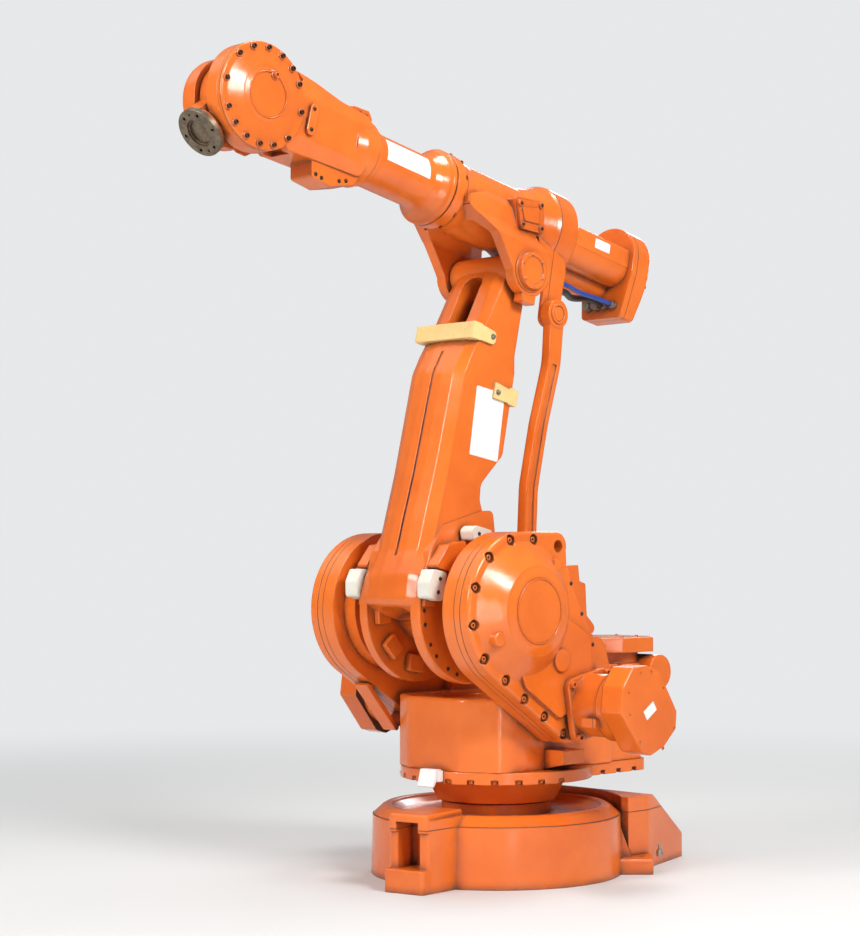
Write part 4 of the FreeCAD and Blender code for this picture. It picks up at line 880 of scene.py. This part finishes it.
# %% Strap screws
STRAP_HALF, STRAP_SCREWS = 136, [(84, 919), (20, 742)]
DAMPER_OUT, DAMPER_SCREWS = 198, [(222, 14), (222, 58), (36, 240), (74, 240)]
for side, sign, facing in SIDES:
    places = [(x, sign * STRAP_HALF, z) for x, z in STRAP_SCREWS]
    repeated(side + "_strap_screws", spots(ARM, facing, places), small_hex,
             "lower_arm", pin_steel)
    places = [(x, sign * DAMPER_OUT, z) for x, z in DAMPER_SCREWS]
    repeated(side + "_damper_screws", spots(ARM, facing, places), small_dome,
             "lower_arm", screw_black)
print("strap screws in place")

# %% [markdown]
# ## Blank labels
# Real arms carry stickers. This one keeps them blank: thin vinyl with rounded
# corners, where the maker's own would be. A sticker is a grid with its corners
# bevelled, given the thickness of a sheet, and laid just over the paint.


# %% A label
def sticker(wide, tall, corner, thick=0.5):
    form = bmesh.new()
    bmesh.ops.create_grid(form, x_segments=1, y_segments=1, size=0.5)
    bmesh.ops.scale(form, vec=(wide, tall, 1), verts=form.verts)
    bmesh.ops.bevel(form, geom=list(form.verts), offset=corner, segments=4, profile=0.5,
                    affect="VERTICES", material=-1)
    bmesh.ops.solidify(form, geom=list(form.faces), thickness=-thick)
    return form


def lay(name, size, frame_of, facing, place, body, turn=0.0):
    spot = (frame_of @ Matrix.Translation(place) @ FACING[facing]
            @ Matrix.Rotation(math.radians(turn), 4, "Z"))
    repeated(name, [spot], as_template(name, sticker(*size)), body, label_white)


lay("arm_label", (140, 236, 6), ARM, "+Y", (40, 126.0, 627), "lower_arm", 3)
lay("motor_box_label", (84, 36, 4), ELBOW, "+Y", (-446, 100.0, 30), "upper_arm", 0)
lay("motor_cap_label", (60, 34, 3, 0.3), SHOULDER, "+Y", (-292, cap_face, -322), "turret", 33)
lay("elbow_top_label", (90, 44, 5), ELBOW, "+Z", (110, 0, 113.0), "upper_arm", 0)
print("labels laid")

# %% [markdown]
# ## Pin rings and bearing blocks
# The rod turns on two pins, each kept by a turned ring. Between the arm's
# cheeks sit the cast blocks that carry the bearing of axis 2, seen only
# through the arch. A block is a cube whose edges are bevelled until it reads
# as a casting, with a screw through its middle.

# %% Rings on the rod's pins
rod_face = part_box("parallel_rod")[1][1] / MM
lower_pin = anchor("rod_swing")
upper_pin = lower_pin + rise
rod_ring = as_template("rod_ring", joined_forms(
    spun_ring(26, 37, 5, 40), stepped([(25, 0), (25, 3.5), (20, 4.5), (6, 4.6)], 32)))
pins = [(pin.x / MM, rod_face, pin.z / MM) for pin in (lower_pin, upper_pin)]
repeated("rod_pin_rings", spots(WORLD, "+Y", pins), rod_ring, "rod", paint_plain)
print("rod face", round(rod_face))


# %% Bearing blocks between the cheeks
def cast_block(long, wide, tall, soft):
    form = bmesh.new()
    bmesh.ops.create_cube(form, size=1)
    bmesh.ops.scale(form, vec=(long, wide, tall), verts=form.verts)
    bmesh.ops.translate(form, vec=(0, 0, tall / 2), verts=form.verts)
    top = max(form.faces, key=lambda face: face.calc_center_median().z)
    bmesh.ops.inset_region(form, faces=[top], thickness=wide * 0.16, depth=-1.5)
    bmesh.ops.bevel(form, geom=[edge for edge in form.edges if edge.calc_face_angle(0) > 1.2],
                    offset=soft, segments=3, profile=0.5, affect="EDGES", material=-1)
    return form


block = as_template("bearing_block", joined_forms(cast_block(58, 70, 26, 6), hex_screw(17)))
CHEEK_IN, BLOCK_OUT = 102, 186
turns = []
for facing, wall in (("+Y", -CHEEK_IN), ("-Y", CHEEK_IN)):
    for angle in (-4, -42, -80, -118):
        turns.append(SHOULDER @ Matrix.Rotation(math.radians(-angle), 4, "Y")
                     @ Matrix.Translation((BLOCK_OUT, wall, 0)) @ FACING[facing])
repeated("bearing_blocks", turns, block, "lower_arm", paint_plain)
print("blocks:", len(turns))

# %% [markdown]
# ## The curved label on the forearm
# The forearm is a round tube, so its sticker has to wrap round it. A short
# edge spun part of the way round the tube's axis makes a curved strip, and a
# solidify gives it the thickness of vinyl.

# %% Forearm label
TUBE_R, LABEL_FLOAT = 92.0, 0.2
form = bmesh.new()
ends = [form.verts.new((x, 0, TUBE_R + LABEL_FLOAT)) for x in range(424, 641, 27)]
strip = [form.edges.new(pair) for pair in zip(ends, ends[1:])]
bmesh.ops.rotate(form, verts=ends, cent=(0, 0, 0),
                 matrix=Matrix.Rotation(math.radians(-47), 3, "X"))
bmesh.ops.spin(form, geom=ends + strip, axis=(1, 0, 0), cent=(0, 0, 0), steps=10,
               angle=math.radians(-50))
bmesh.ops.recalc_face_normals(form, faces=form.faces)
bmesh.ops.solidify(form, geom=list(form.faces), thickness=0.5)
bmesh.ops.transform(form, matrix=ELBOW, verts=form.verts)
finished("forearm_label", form, "forearm", label_white)
print("label wraps a tube of radius", TUBE_R, "mm")

# %% [markdown]
# ## Small screws on the wrist and the shoulder
# Rows of small screws hold the cable ridge on top of the wrist, the bracket
# below it, and the bearing ring on the arm's cheeks. They have dark heads, so
# they read as small holes from a distance.

# %% Rows of small screws
places = [(-411, 62, 108), (-440, 62, 112), (-470, 62, 110)]
repeated("wrist_ridge_screws", spots(WRIST, "+Y", places), small_dome,
         "forearm", screw_black)
places = [(-292, 66, -148), (-318, 66, -152), (-392, 66, -138), (-420, 66, -128)]
repeated("wrist_bracket_screws", spots(WRIST, "+Y", places), small_dome,
         "forearm", screw_black)
CHEEK_OUT = 142
places = [(x, CHEEK_OUT, z) for x, z in ring_of(222, (-12, -24, -42, -54, -72, -84))]
repeated("cheek_screws", spots(ARM, "+Y", places), small_dome,
         "lower_arm", screw_black)
EDGE_TRIMS = [(-234, 86), (-288, -15), (-344, -119)]
for side, sign, facing in SIDES:
    places = [(x, sign * rim_face, z) for x, z in EDGE_TRIMS]
    repeated(side + "_edge_screws", spots(SHOULDER, facing, places), small_dome,
             "turret", screw_black)
print("small rows placed")
